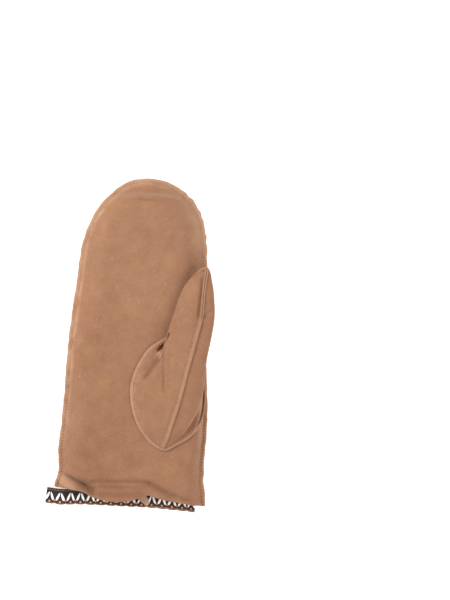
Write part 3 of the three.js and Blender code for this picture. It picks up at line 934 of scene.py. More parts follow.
class NodeMaker:
    """Adds the nodes of one material."""

    def __init__(self, name: str) -> None:
        """Start a material with an empty tree.

        Args:
            name: The material's name.
        """
        self.material = bpy.data.materials.new(name)
        self.material.use_nodes = True
        self.tree = self.material.node_tree
        self.tree.nodes.clear()

    def feed(self, socket: bpy.types.NodeSocket, value: Any) -> None:
        """Link a value to a socket, or set a constant on it.

        Args:
            socket: The socket.
            value: The value, another node's socket or a constant.
        """
        if isinstance(value, Value):
            value = value.socket
        if isinstance(value, bpy.types.NodeSocket):
            self.tree.links.new(value, socket)
        else:
            socket.default_value = value

    def node(self, kind: str, settings: Optional[dict] = None,
             inputs: Optional[dict] = None) -> bpy.types.Node:
        """Add a node.

        Args:
            kind: The node's type.
            settings: What is set on the node itself, such as a Math node's operation.
            inputs: The values or links of its sockets, by name or number.

        Returns:
            The node.
        """
        made = self.tree.nodes.new(kind)
        for name, value in (settings or {}).items():
            setattr(made, name, value)
        for name, value in (inputs or {}).items():
            self.feed(made.inputs[name], value)
        return made

    def maths(self, operation: str, *values: Any) -> Value:
        """Return the result of a Math node."""
        made = self.node("ShaderNodeMath", {"operation": operation}, dict(enumerate(values)))
        return Value(self, made.outputs[0])

    def noise(self, place: bpy.types.NodeSocket, scale: float, detail: float = 2.0,
              rough: float = 0.5) -> Value:
        """Return soft noise from 0 to 1.

        Args:
            place: The coordinates that it is read at, in metres.
            scale: How many of its lumps there are in a metre.
            detail: How many finer layers it has.
            rough: How strong the finer layers are.

        Returns:
            The noise.
        """
        inputs = {"Vector": place, "Scale": scale, "Detail": detail, "Roughness": rough}
        return Value(self, self.node("ShaderNodeTexNoise", {}, inputs).outputs["Fac"])

    def place(self) -> bpy.types.NodeSocket:
        """Return the coordinates of the object itself."""
        return self.node("ShaderNodeTexCoord").outputs["Object"]

    def split(self, vector: bpy.types.NodeSocket) -> tuple[Value, Value, Value]:
        """Return the three numbers of a vector."""
        outputs = self.node("ShaderNodeSeparateXYZ", {}, {0: vector}).outputs
        return tuple(Value(self, outputs[name]) for name in ("X", "Y", "Z"))

    def marks(self) -> tuple[Value, Value, Value]:
        """Return the three numbers that each point of a mesh carries."""
        return self.split(self.node("ShaderNodeAttribute", {"attribute_name": "marks"}).outputs["Vector"])

    def blend(self, factor: Any, first: Any, second: Any) -> bpy.types.NodeSocket:
        """Return a colour a share of the way from one colour to another.

        Args:
            factor: The share.
            first: The colour at 0.
            second: The colour at 1.

        Returns:
            The mixed colour.
        """
        made = self.node("ShaderNodeMix", {"data_type": "RGBA", "clamp_factor": True})
        for number, value in zip(MIX_INPUTS, (factor, first, second)):
            self.feed(made.inputs[number], (*value, 1.0) if isinstance(value, tuple) else value)
        return made.outputs[MIX_OUTPUT]

    def bump(self, height: Value, strength: float, distance_mm: float) -> bpy.types.NodeSocket:
        """Return a normal tilted by a fine relief."""
        inputs = {"Height": height, "Strength": strength, "Distance": distance_mm * MM}
        return self.node("ShaderNodeBump", {}, inputs).outputs["Normal"]

    def finish(self, shader: dict) -> bpy.types.Material:
        """Close the material with one shader.

        Args:
            shader: The constants and links of the shader's sockets.

        Returns:
            The material.
        """
        surface = self.node("ShaderNodeBsdfPrincipled", {}, shader)
        self.node("ShaderNodeOutputMaterial", {}, {"Surface": surface.outputs[0]})
        return self.material


def linear(step: int, knee: float = 0.04045, slope: float = 12.92, shift: float = 0.055,
           power: float = 2.4) -> float:
    """Turn a colour's channel into linear light.

    Args:
        step: The channel, from 0 to 255.
        knee: Where the standard curve starts.
        slope: The slope of the straight part under it.
        shift: How far the curve is shifted.
        power: The curve's power.

    Returns:
        The channel as linear light.
    """
    share = step / 255
    return share / slope if share <= knee else ((share + shift) / (1 + shift)) ** power


def srgb(red: int, green: int, blue: int) -> Colour:
    """Return a colour given in 8-bit steps as linear light."""
    return linear(red), linear(green), linear(blue)


class Ramp(NamedTuple):
    """How a mask goes up: the value where it starts and how steep it is, below 0 where it goes down."""

    start: float
    steep: float


# Finishes


@dataclass(frozen=True)
class SuedeFinish:
    """Tan suede with a soft, uneven nap."""

    name: str = "tan_suede"
    dark: Colour = srgb(128, 87, 63)
    light: Colour = srgb(158, 118, 92)
    ochre: Colour = srgb(164, 126, 83)
    # The pale of cut edges, which also tints the painted highlights.
    cut: Colour = srgb(205, 165, 134)
    # The dark of the stitch dots, also painted as shade along the seam's groove.
    hole: Colour = srgb(66, 40, 28)
    seam_depth: float = 2.5
    seam_soft: float = 0.5
    hole_spacing: float = 2.4
    seam_top: float = 1.25
    hole_beat: Ramp = Ramp(0.25, 8.0)
    groove_shade_share: float = 0.14
    thumb_side: Ramp = Ramp(0.02, 30.0)
    thumb_end: Ramp = Ramp(0.052, 60.0)
    thumb_end_share: float = 0.75
    low_side: Ramp = Ramp(0.03, 60.0)
    low_end: Ramp = Ramp(-0.06, -40.0)
    low_share: float = 0.4
    holes_middle: float = 0.5
    holes_fall: float = 8.0
    holes_least: float = 0.08
    rim_depth: float = 2.2
    rim_reach: float = 2.8
    rim_top: float = 1.5
    rim_middle: float = 0.4
    rim_fall: float = 20.0
    rim_tip: Ramp = Ramp(0.1, 40.0)
    rim_tip_share: float = 0.5
    rim_cuff: Ramp = Ramp(-0.113, 12.0)
    rim_patch: float = 0.26
    shoulder_side: Ramp = Ramp(0.01, 30.0)
    shoulder_foot: Ramp = Ramp(0.062, 50.0)
    shoulder_reach: float = 9.0
    shoulder_top: float = 1.6
    shoulder_pale: float = 0.24
    flap_x: float = -0.0475
    flap_y: float = -0.1085
    flap_slope: float = 0.42
    flap_length: float = 0.0125
    flap_width: float = 0.0042
    flap_top: float = 1.4
    flap_pale: float = 0.24
    broad_scale: float = 24
    broad_share: float = 0.5
    warm_scale: float = 60
    warm_patches: Ramp = Ramp(0.56, 4.0)
    warm_share: float = 0.35
    patch_scale: float = 95
    patch_rough: float = 0.6
    patch_share: float = 0.55
    grain_scale: float = 420
    grain_share: float = 0.3
    speck_scale: float = 620
    pale_specks: Ramp = Ramp(0.66, 5.0)
    pale_speck_share: float = 0.3
    dark_specks: Ramp = Ramp(0.33, -5.0)
    dark_speck_share: float = 0.5
    nap_scale: float = 950
    nap_rough: float = 0.65
    nap_share: float = 0.5
    shade_drop: float = 0.45
    tip_light: float = 1.1
    cut_gain: float = 2.6
    cut_drop: float = 0.4
    relief_scale: float = 2600
    relief_nap: float = 0.7
    relief_grain: float = 0.4
    relief_strength: float = 0.35
    relief_height: float = 0.35
    sewn_steep: float = 1000.0

    def tone(self, maker: NodeMaker, place: bpy.types.NodeSocket, patches: Value, nap: Value) -> Any:
        """Work out the uneven colour of the nap.

        Args:
            maker: What adds the nodes.
            place: The coordinates.
            patches: Noise in patches.
            nap: Fine noise.

        Returns:
            The colour.
        """
        along = maker.split(place)[1]
        shade = maker.noise(place, self.broad_scale, 3) * self.broad_share
        shade = shade + patches * self.patch_share + nap * self.nap_share
        shade = shade + maker.noise(place, self.grain_scale, 2) * self.grain_share
        shade = shade - self.shade_drop + along * self.tip_light
        warm = maker.noise(place, self.warm_scale, 2).past(*self.warm_patches) * self.warm_share
        specks = maker.noise(place, self.speck_scale, 1)
        colour = maker.blend(shade, self.dark, self.light)
        layers = ((warm, self.ochre),
                  (specks.past(*self.pale_specks) * self.pale_speck_share, self.cut),
                  (specks.past(*self.dark_specks) * self.dark_speck_share, self.dark))
        for mask, tint in layers:
            colour = maker.blend(mask, colour, tint)
        return colour

    def holes_and_groove_shade(self, across: Value, along: Value, run: Value, depth: Value) -> Value:
        """Work out the seam's dark stitch dots and the painted shade along its groove, clearest by the thumb
        and faint at the fingertips.

        Args:
            across: The place across the mitten, in metres.
            along: The place along it.
            run: How far along the seam the place is, in millimetres.
            depth: How far in from the seam's edge it is.

        Returns:
            The mask.
        """
        line = depth.near(self.seam_depth, self.seam_soft, self.seam_top)
        beat = NodeMaths.absolute(NodeMaths.part(run / self.hole_spacing) - 0.5).past(*self.hole_beat)
        by_thumb = across.past(*self.thumb_side) * (1 - along.past(*self.thumb_end) * self.thumb_end_share)
        low_right = across.past(*self.low_side) * along.past(*self.low_end)
        shown = (self.holes_middle - along * self.holes_fall + by_thumb).held()
        shown = shown * (1 - low_right * self.low_share)
        # The second term paints shade along the whole of the seam's groove line.
        return (line * beat + line * self.groove_shade_share) * (shown * (1 - self.holes_least) + self.holes_least)

    def painted_highlights(self, across: Value, along: Value, depth: Value, patches: Value) -> Value:
        """Work out the painted highlights, pale where light falls on the left rim, the right shoulder and the
        cuff's flap.

        Args:
            across: The place across the mitten, in metres.
            along: The place along it.
            depth: How far in from the seam's edge it is, in millimetres.
            patches: Noise in patches.

        Returns:
            The mask.
        """
        # Each of these masks is a painted highlight, pale where the light falls on a slope.
        by_tip = along.past(*self.rim_tip) * self.rim_tip_share
        left = (self.rim_middle - across * self.rim_fall + by_tip).held() * along.past(*self.rim_cuff)
        rim = depth.near(self.rim_depth, self.rim_reach, self.rim_top) * left * (patches - self.rim_patch)
        right = across.past(*self.shoulder_side) * along.past(*self.shoulder_foot)
        shoulder = (self.shoulder_top - depth / self.shoulder_reach).held() * right * self.shoulder_pale
        aside = across - self.flap_x
        off = (along - self.flap_y + aside * self.flap_slope) / self.flap_width
        flap = (self.flap_top - ((aside / self.flap_length) ** 2 + off ** 2)).held() * self.flap_pale
        return rim + shoulder + flap

    def make(self) -> bpy.types.Material:
        """Make the material.

        Returns:
            The material, whose marks are the run along the seam, the depth in from it and how pale it is.
        """
        maker = NodeMaker(self.name)
        place = maker.place()
        across, along, _ = maker.split(place)
        run, depth, pale = maker.marks()
        patches = maker.noise(place, self.patch_scale, 4, self.patch_rough)
        nap = maker.noise(place, self.nap_scale, 3, self.nap_rough)
        sewn = (depth * self.sewn_steep).held()
        colour = self.tone(maker, place, patches, nap)
        # The first layer paints the stitch dots and the shade along the seam's groove.
        layers = (((self.holes_and_groove_shade(across, along, run, depth) * sewn).held(), self.hole),
                  ((pale * (nap * self.cut_gain - self.cut_drop)).held(), self.cut),
                  # This layer paints highlights pale on the left rim, the right shoulder and the cuff's flap.
                  (self.painted_highlights(across, along, depth, patches) * sewn, self.cut))
        for mask, tint in layers:
            colour = maker.blend(mask, colour, tint)
        relief = nap * self.relief_nap + maker.noise(place, self.relief_scale, 2) * self.relief_grain
        return maker.finish({
            "Base Color": colour,
            "Roughness": 0.94,
            "Specular IOR Level": 0.12,
            "Sheen Weight": 0.22,
            "Sheen Roughness": 0.45,
            "Sheen Tint": (1.0, 0.86, 0.74, 1.0),
            "Normal": maker.bump(relief, self.relief_strength, self.relief_height),
        })


@dataclass(frozen=True)
class ThreadFinish:
    """Matt sewing thread."""

    name: str = "tan_thread"
    colour: Colour = srgb(190, 150, 116)
    worn: float = 0.62
    twist_scale: float = 1500

    def make(self) -> bpy.types.Material:
        """Make the material.

        Returns:
            The material.
        """
        maker = NodeMaker(self.name)
        shade = maker.noise(maker.place(), self.twist_scale, 2)
        darker = tuple(self.worn * channel for channel in self.colour)
        return maker.finish({"Base Color": maker.blend(shade, darker, self.colour), "Roughness": 0.8})


@dataclass(frozen=True)
class BandPattern:
    """The woven pattern: white chevrons on black over a scalloped brown edge, in millimetres."""

    width: float = 13.4
    repeat: float = 7.89
    shift: float = 3.35
    stroke_top: float = 9.0
    stroke_foot: float = 2.5
    stroke_spread_top: float = 0.5
    stroke_spread_foot: float = 2.8
    stroke_half: float = 0.95
    stroke_top_fade: float = 2.2
    stroke_foot_fade: float = 5.0
    stroke_sharp: float = 5.0
    stroke_end_sharp: float = 8.0
    arch_base: float = 0.7
    arch_height: float = 2.5
    stone_height: float = 1.7
    stone_half: float = 1.0
    bead_height: float = 2.35
    bead_half: float = 0.8
    selvage_foot: float = 12.0
    scallop_depth: float = 0.75
    sharp: float = 4.0

    def across(self, run: Any, maths: Maths) -> Any:
        """Return how far off the middle of its chevron each place is."""
        return maths.absolute(maths.part((run + self.shift) / self.repeat) - 0.5) * self.repeat

    def stroke(self, run: Any, up: Any, maths: Maths) -> Any:
        """Return 1 on the chevrons and 0 off them.

        Args:
            run: The place along the band.
            up: The height over the band's lower edge.
            maths: The functions for the kind of number.

        Returns:
            The mask.
        """
        fall = (self.stroke_top - up) / (self.stroke_top - self.stroke_foot)
        middle = self.stroke_spread_top + (self.stroke_spread_foot - self.stroke_spread_top) * fall
        off = maths.absolute(self.across(run, maths) - middle)
        span = maths.clamp(fall * self.stroke_top_fade) * maths.clamp((1 - fall) * self.stroke_foot_fade)
        half = maths.root(span) * self.stroke_half
        return maths.clamp((half - off) * self.stroke_sharp) * maths.clamp(span * self.stroke_end_sharp)

    def arch(self, run: Any, up: Any, maths: Maths) -> Any:
        """Return 1 on the brown arches under the chevrons and 0 off them.

        Args:
            run: The place along the band.
            up: The height over the band's lower edge.
            maths: The functions for the kind of number.

        Returns:
            The mask.
        """
        off = self.across(run, maths) / (self.repeat / 2)
        top = (1 - off * off) * self.arch_height + self.arch_base
        return maths.clamp((top - up) * self.sharp)

    def stone(self, run: Any, up: Any, maths: Maths) -> Any:
        """Return 1 on the small lozenge in each arch and 0 off it."""
        off = self.across(run, maths) + maths.absolute(up - self.stone_height)
        return maths.clamp((self.stone_half - off) * self.sharp)

    def bead(self, run: Any, up: Any, maths: Maths) -> Any:
        """Return 1 on the spot between two chevrons' feet and 0 off it."""
        off = (self.repeat / 2 - self.across(run, maths)) + maths.absolute(up - self.bead_height)
        return maths.clamp((self.bead_half - off) * self.sharp)

    def scallop(self, run: Array) -> Array:
        """Return how far in from its straight line the band's lower edge is."""
        off = self.across(run, ArrayMaths) / (self.repeat / 2)
        return self.scallop_depth * off**3


@dataclass(frozen=True)
class BandFinish:
    """The woven band's yarns."""

    pattern: BandPattern
    name: str = "woven_zigzag"
    black: Colour = srgb(40, 33, 33)
    grey: Colour = srgb(150, 138, 128)
    white: Colour = srgb(246, 240, 236)
    brown: Colour = srgb(84, 46, 34)
    edge: Colour = srgb(134, 112, 88)
    stone: Colour = srgb(206, 160, 140)
    bead: Colour = srgb(214, 178, 128)
    selvage: Colour = srgb(238, 212, 200)
    dull: Colour = srgb(74, 64, 62)
    thread_up: float = 10.7
    thread_half: float = 0.455
    thread_share: float = 0.75
    fuzz_scale: float = 2400
    wander_scale: float = 2100
    wander: float = 0.5
    warp: float = 11.0
    weft: float = 13.0
    dot_turns: float = 5.0
    dot_gain: float = 2.0
    dot_level: float = 0.6
    dull_weave: float = 0.25
    dull_fuzz: float = 0.5
    dull_drop: float = 0.1
    relief_share: float = 0.5
    relief_strength: float = 0.4
    relief_height: float = 0.25

    def make(self) -> bpy.types.Material:
        """Make the material.

        Returns:
            The material, whose marks are the run along the band and the height over its lower edge.
        """
        maker = NodeMaker(self.name)
        run, up, _ = maker.marks()
        pattern = self.pattern
        place = maker.place()
        fuzz = maker.noise(place, self.fuzz_scale, 2)
        up = up + (fuzz - 0.5) * self.wander
        run = run + (maker.noise(place, self.wander_scale, 2) - 0.5) * self.wander
        weave = maker.maths("SINE", run * self.warp) * maker.maths("SINE", up * self.weft)
        dots = (maker.maths("SINE", run * self.dot_turns) * self.dot_gain + self.dot_level).held()
        dulled = (weave * self.dull_weave + fuzz * self.dull_fuzz - self.dull_drop).held()
        colour = maker.blend(dulled, self.black, self.dull)
        layers = ((up.near(self.thread_up, self.thread_half, 1.0) * dots * self.thread_share, self.grey),
                  (pattern.arch(run, up, NodeMaths), self.brown),
                  (up.past(pattern.arch_base, -pattern.sharp), self.edge),
                  (pattern.stone(run, up, NodeMaths), self.stone),
                  (pattern.bead(run, up, NodeMaths), self.bead),
                  (pattern.stroke(run, up, NodeMaths), self.white),
                  (up.past(pattern.selvage_foot, pattern.sharp), self.selvage))
        for mask, yarn in layers:
            colour = maker.blend(mask, colour, yarn)
        relief = weave * self.relief_share + fuzz * self.relief_share
        return maker.finish({
            "Base Color": colour,
            "Roughness": 0.86,
            "Specular IOR Level": 0.2,
            "Normal": maker.bump(relief, self.relief_strength, self.relief_height),
        })


@dataclass(frozen=True)
class FloorFinish:
    """The plain white light table that the mitten lies on."""

    name: str = "white_floor"
    colour: Colour = (0.93, 0.93, 0.93)
    glow: float = 0.5

    def make(self) -> bpy.types.Material:
        """Make the material.

        Returns:
            The material.
        """
        maker = NodeMaker(self.name)
        return maker.finish({
            "Base Color": (*self.colour, 1.0),
            "Roughness": 0.9,
            "Specular IOR Level": 0.1,
            "Emission Color": (1.0, 1.0, 1.0, 1.0),
            "Emission Strength": self.glow,
        })


@dataclass
class Finishes:
    """Every material of the mitten."""

    pattern: BandPattern = field(default_factory=BandPattern)

    def __post_init__(self) -> None:
        """Make the materials."""
        self.suede = SuedeFinish().make()
        self.band = BandFinish(self.pattern).make()
        self.thread = ThreadFinish().make()


def settle(piece: bpy.types.Object, slot: Slot, *nodes: str) -> None:
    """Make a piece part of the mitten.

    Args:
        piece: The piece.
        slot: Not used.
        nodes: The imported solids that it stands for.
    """
    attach(piece, BODY)
    if nodes:
        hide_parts(*nodes)
    LOG.info("%s: %d faces", piece.name, len(piece.data.polygons))


# Sewing


@dataclass(frozen=True)
class Stitching:
    """A row of stitches, each a short thread that dips in at both ends."""

    spacing: float = 2.4
    length: float = 1.5
    radius: float = 0.26
    arch: float = 0.22
    sunk: float = 0.06
    taper: float = 0.45
    tip: float = 0.1
    sides: int = 6
    rings: int = 5

    def sew(self, name: str, finishes: Finishes, path: Array, ups: Array) -> None:
        """Make a row of stitches along a path.

        Args:
            name: The row's name.
            finishes: Every material.
            path: Points on the surface that the stitches lie on.
            ups: The surface's normals at the points.
        """
        parts = MeshParts()
        lengths = run_lengths(path)
        reach = self.length / 2
        places = np.arange(self.spacing / 2, lengths[-1] - reach, self.spacing)
        middles, behind, ahead = (resampled(path, places + shift) for shift in (0.0, -reach, reach))
        up = unit(read_along(ups, lengths, places))
        along = unit(ahead - behind)
        side = unit(np.cross(along, up))
        turns = np.arange(self.sides) * (2 * math.pi / self.sides)
        for i in range(len(places)):
            rings = []
            for share in np.linspace(-1, 1, self.rings):
                over = self.arch * (1 - share**2) - self.sunk
                centre = middles[i] + along[i] * (share * reach) + up[i] * over
                thick = self.radius * (1 - self.taper * share**4)
                rings.append([centre + (side[i] * math.cos(t) + up[i] * math.sin(t)) * thick for t in turns])
            numbers = parts.add(np.array(rings))
            parts.weave(numbers, around=True)
            for end, way in ((0, -1), (-1, 1)):
                parts.cap(numbers[end], np.mean(rings[end], axis=0) + along[i] * (way * self.tip))
        settle(parts.piece(name, finishes.thread), Slot.SUEDE)


# Pieces


@dataclass
class HandPanels:
    """The back and the palm of the hand, sewn together round the edge."""

    hand: HandShape
    finishes: Finishes
    row_step: float = 1.5
    turn_steps: int = 116
    seam_columns: float = 4.0
    near_depth: float = 20.0
    near_step: float = 0.8
    far_columns: int = 24
    wave_reach: float = 6.0
    shoulder_start: Span = (275.0, 300.0)
    shoulder_end: Span = (335.0, 355.0)
    back_outset: float = 0.3
    ripple: WaveRow = WaveRow(0.22, 2.6, 0)
    ripple_reach: float = 2.4
    groove: float = 0.22
    groove_reach: float = 0.5
    pale_edge: float = 0.3
    pale_reach: float = 0.8
    stitch_depth: float = 2.5
    opening_inset: float = 3.2
    opening_samples: int = 12
    out_column: int = 4

    def depths(self, reach: float) -> Array:
        """Work out how far in the columns of a row are, close together beside the seam.

        Args:
            reach: How far in the last column is.

        Returns:
            The columns' depths.
        """
        seam = np.arange(0, self.seam_columns, self.near_step / 2)
        near = np.arange(self.seam_columns, self.near_depth, self.near_step)
        return np.concatenate([seam, near, np.linspace(self.near_depth, reach, self.far_columns)])

    def plan(self, cuff: RowCurve) -> tuple[Array, Array, Array]:
        """Lay out a panel's rows from its edge in to the middle of the hand.

        Args:
            cuff: The panel's edge at the cuff.

        Returns:
            The points' places in plan, how far in they are, and how far along the seam their rows are.
        """
        hand = self.hand
        along = np.arange(hand.cuff_row_y, hand.tip_centre_y, self.row_step)

        def lifted(x: Array, y: Array) -> Array:
            """Return a row's place once it follows the cuff's edge."""
            fade = smooth(np.clip(1 - (y - hand.cuff_row_y) / hand.cuff_fade, 0, 1))
            return y + (cuff(x) - hand.cuff_row_y) * fade

        def side_rows(name: str, ys: Array) -> list[Array]:
            """Lay out the rows up one side.

            Args:
                name: The side.
                ys: Where the rows start.

            Returns:
                The rows.
            """
            rows = []
            for y in ys:
                edge = float(hand.curves[name](lifted(hand.curves[name](y), y)))
                reach = hand.centre_x - edge
                x = edge + math.copysign(1, reach) * self.depths(abs(reach))
                rows.append(np.stack([x, lifted(x, y)], axis=-1))
            return rows

        def turn_row(angle: float) -> Array:
            """Lay out one row round the fingertips.

            Args:
                angle: Its direction from their centre, in degrees.

            Returns:
                The row.
            """
            radius = float(hand.tip_radius(angle))
            left = radius - self.depths(radius)
            turn = np.array([math.cos(math.radians(angle)), math.sin(math.radians(angle))])
            return np.array([hand.centre_x, hand.tip_centre_y]) + turn * left[:, None]

        turns = [turn_row(angle) for angle in np.linspace(180, 0, self.turn_steps)]
        rows = side_rows("left", along) + turns + side_rows("right", along[::-1])
        points = np.stack(rows)
        reaches = np.linalg.norm(points - points[:, :1], axis=-1)
        return points, reaches, run_lengths(points[:, 0])

    def waved(self, points: Array, reach: Array, run: Array, outset: float) -> Array:
        """Return the plan with the seam's edge waving a little, as cut suede does.

        Args:
            points: The plan's points.
            reach: How far in from the edge they are.
            run: How far along the seam the rows are.
            outset: How far the whole edge stands out.

        Returns:
            The moved points.
        """
        out = unit(points[:, 0] - points[:, self.out_column])
        shoulder = eased(run, *self.shoulder_start) * (1 - eased(run, *self.shoulder_end))
        wave = waves(EDGE_WAVES, run) + shoulder * waves(SHOULDER_WAVES, run) + outset
        return points + out[:, None] * (wave[:, None] * bell(reach, self.wave_reach))[..., None]

    def panel(self, name: str, node: str, height: Height, cuff: RowCurve, way: int,
              hole: Optional[Array]) -> None:
        """Make one panel with its row of stitches.

        Args:
            name: The panel's name.
            node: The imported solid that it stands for.
            height: The height of the middle of its suede.
            cuff: Its edge at the cuff.
            way: 1 for the palm, whose outer face is up, and -1 for the back.
            hole: The outline of the opening in it, or None.
        """
        points, reach, run = self.plan(cuff)
        x, y = points[..., 0], points[..., 1]
        middle, normal = on_field(height, x, y, 0.0)
        middle[..., :2] = self.waved(points, reach, run, 0.0 if way > 0 else self.back_outset)
        middle[..., 2] += waves([self.ripple], run)[:, None] * bell(reach, self.ripple_reach)
        middle[..., 2] -= way * self.groove * bell(reach - self.stitch_depth, self.groove_reach)
        if way > 0:
            middle[..., 2] += self.hand.soft(x, y) * self.hand.levelled(reach, self.hand.soft_roll)
        pale = self.pale_edge * bell(reach, self.pale_reach)
        marks = np.stack([np.broadcast_to(run[:, None], reach.shape), reach, pale], axis=-1)
        keep = None
        if hole is not None:
            centre = (points[:-1, :-1] + points[1:, 1:]) / 2
            keep = ~inside(hole, centre[..., 0], centre[..., 1])
        parts = MeshParts()
        Sheet(middle, normal, self.hand.suede, marks).into(parts, keep, free_end=False)
        settle(parts.piece(name, self.finishes.suede), Slot.SUEDE, node)
        column = int(np.argmin(np.abs(reach[0] - self.stitch_depth)))
        seam = middle[:, column] + normal[:, column] * (way * self.hand.suede / 2)
        Stitching().sew(f"{name}_stitches", self.finishes, seam[3:-3], normal[3:-3, column] * way)

    def build(self) -> None:
        """Make both panels."""
        hand = self.hand
        foot = closed_spline(np.array(THUMB_FOOT, float), self.opening_samples)
        hole = inset_outline(foot, self.opening_inset)
        self.panel("palm", "palm_panel", hand.palm, hand.palm_cuff, 1, hole)
        self.panel("back", "back_panel", hand.back, hand.back_cuff, -1, None)


@dataclass
class Thumb:
    """The thumb, its raised seam and the seam round its foot."""

    hand: HandShape
    finishes: Finishes
    per_span: int = 16
    lip: float = 2.4
    rows: int = 140
    fin_width: float = 2.5
    fin_height: float = 1.7
    fin_step: float = 0.9
    line_shift: float = -0.2
    stitch_share: float = 1.26
    lap_line: float = 1.2
    tip_round: float = 1.6
    tip_crowd: float = 1.25
    lip_shares: tuple[float, ...] = (0.0, 0.35, 0.7, 1.0)
    lip_crown: float = 0.3
    lip_level: float = 0.6
    fill_turns: Span = (30, 60)
    fold_start: int = 4
    tip_rows: int = 4
    fin_foot: float = 0.65
    fin_foot_share: float = 0.1
    lips_from: Span = (0.7, 0.77)
    fin_sunk: float = 0.2
    foot_sunk: float = 0.1
    lip_pales: tuple[float, ...] = (0.25, 0.2, 0.15)
    seam_pale: float = 0.16
    # A spot by the cleft painted paler: its centre, its reach and how pale it is.
    pale_spot: EdgeRow = EdgeRow(18.9, -5.6)
    pale_spot_reach: EdgeRow = EdgeRow(2.4, 3.2)
    pale_spot_share: float = 0.34
    fold_facing: float = 2.0
    stitch_side: float = 0.9
    stitch_rise: float = 0.6
    fin_stitches: Stitching = Stitching(spacing=1.7, length=1.0, radius=0.22)
    foot_stitches: Stitching = Stitching(spacing=2.2, length=1.3, radius=0.24)

    def section(self, row: ThumbRow) -> Array:
        """Lay out one section.

        Args:
            row: Its guides.

        Returns:
            Its closed outline.
        """
        guides = (row.seam, row.right, row.under, row.left)
        seam, right, under, left = (np.array(spot, float) for spot in guides)
        centre = (seam + right + under + left) / 4

        def between(first: Array, second: Array, fill: float) -> list[Array]:
            """Round the way from one guide to the next.

            Args:
                first: The one guide.
                second: The next.
                fill: How full the rounding is.

            Returns:
                Two points between them.
            """
            start, end = first - centre, second - centre
            turns = [math.radians(turn) for turn in self.fill_turns]
            return [centre + (start * math.cos(t) + end * math.sin(t)) * fill for t in turns]

        points = [seam, *between(seam, right, row.fill_right), right]
        points += [*between(right, under, row.fill_under), under]
        points += [np.array(row.web), np.array(row.gusset), left, *between(left, seam, row.fill_left)]
        return closed_spline(np.array(points) + [0, 0, self.hand.palm_top], self.per_span)

    def surface(self) -> tuple[Array, Array, int]:
        """Lay out the middle of the thumb's suede.

        Returns:
            Its rows from the foot to the tip, their normals, and the number of the row where the wall starts.
        """
        hand = self.hand
        foot = closed_spline(np.array(THUMB_FOOT, float), self.per_span)
        lift = hand.suede + hand.gap
        lips = []
        for share in self.lip_shares:
            ring = inset_outline(foot, self.lip * share)
            points, _ = on_field(hand.palm, ring[:, 0], ring[:, 1], lift)
            points[:, :2] = ring
            points[:, 2] += self.lip_crown * math.sin(math.pi * share)
            lips.append(points)
        lips[0][:, 2] = np.maximum(lips[0][:, 2], lips[-1][:, 2] - self.lip_level)
        sections = [lips[-1]] + [self.section(row) for row in THUMB_SECTIONS]
        tip = np.array(THUMB_TIP) + [0, 0, hand.palm_top]
        steps = [np.linalg.norm(b - a, axis=1).mean() for a, b in zip(sections, sections[1:])]
        last = sections[-1]
        to_tip = tip - last
        ahead = unit(tip - sections[-3].mean(axis=0))
        steps.append(float(np.linalg.norm(to_tip, axis=1).mean()))
        at = np.concatenate([[0.0], np.cumsum(steps)])
        sideways = to_tip - (to_tip @ ahead)[:, None] * ahead
        ends = np.stack(sections + [np.broadcast_to(tip, last.shape)])
        curve = RowCurve(at, ends, sideways * self.tip_round / steps[-1])
        shares = np.linspace(0, 1, self.rows)
        wall = curve(at[-1] * (1 - (1 - shares) ** self.tip_crowd))
        rows = np.concatenate([np.stack(lips[:-1]), wall])
        around = np.roll(rows, -1, axis=1) - np.roll(rows, 1, axis=1)
        up = np.empty_like(rows)
        up[1:-1] = rows[2:] - rows[:-2]
        up[0] = rows[1] - rows[0]
        up[-1] = ahead
        normal = unit(np.cross(around, up))
        normal[-1] = ahead
        return rows, normal, len(lips) - 1

    def fin(self, rows: Array, normal: Array, start: int) -> None:
        """Make the raised seam, two lips with a groove between them, and its stitches.

        Args:
            rows: The thumb's rows.
            normal: Their normals.
            start: The row where the wall starts.
        """
        ups = normal[start:-self.tip_rows, 0]
        path = rows[start:-self.tip_rows, 0] + ups * (self.hand.suede / 2 - self.fin_sunk)
        lengths = run_lengths(path)
        at = np.linspace(0, lengths[-1], int(lengths[-1] / self.fin_step))
        line = resampled(path, at)
        up = unit(read_along(ups, lengths, at))
        along = unit(np.gradient(line, axis=0))
        across = unit(np.cross(along, up))
        share = at / at[-1]
        half = self.fin_width / 2
        tall = self.fin_height * mix(self.fin_foot, 1.0, eased(share, 0, self.fin_foot_share))
        lap, lips = (np.array(rows, float)[:, None] for rows in (SEAM_LAP, SEAM_LIPS))
        sides, rises = mix(lap, lips, eased(share, *self.lips_from)[:, None]).transpose(2, 1, 0)
        grid = line[:, None] + across[:, None] * (sides * half)[..., None]
        grid = grid + up[:, None] * (rises * tall[:, None])[..., None]
        parts = MeshParts()
        depth = SuedeFinish.seam_depth + (sides + self.lap_line) * half
        run = np.broadcast_to((at * self.stitch_share)[:, None], depth.shape)
        marks = np.stack([run, depth, np.full_like(depth, self.seam_pale)], axis=-1)
        numbers = parts.add(grid, marks)
        parts.weave(numbers, around=True)
        for end in (0, -1):
            parts.cap(numbers[end], grid[end].mean(axis=0))
        settle(parts.piece("thumb_seam", self.finishes.suede), Slot.SUEDE)
        beside = line - across * (half * self.stitch_side) + up * (tall * self.stitch_rise)[:, None]
        self.fin_stitches.sew("thumb_seam_stitches", self.finishes, beside[2:], unit(up - across)[2:])

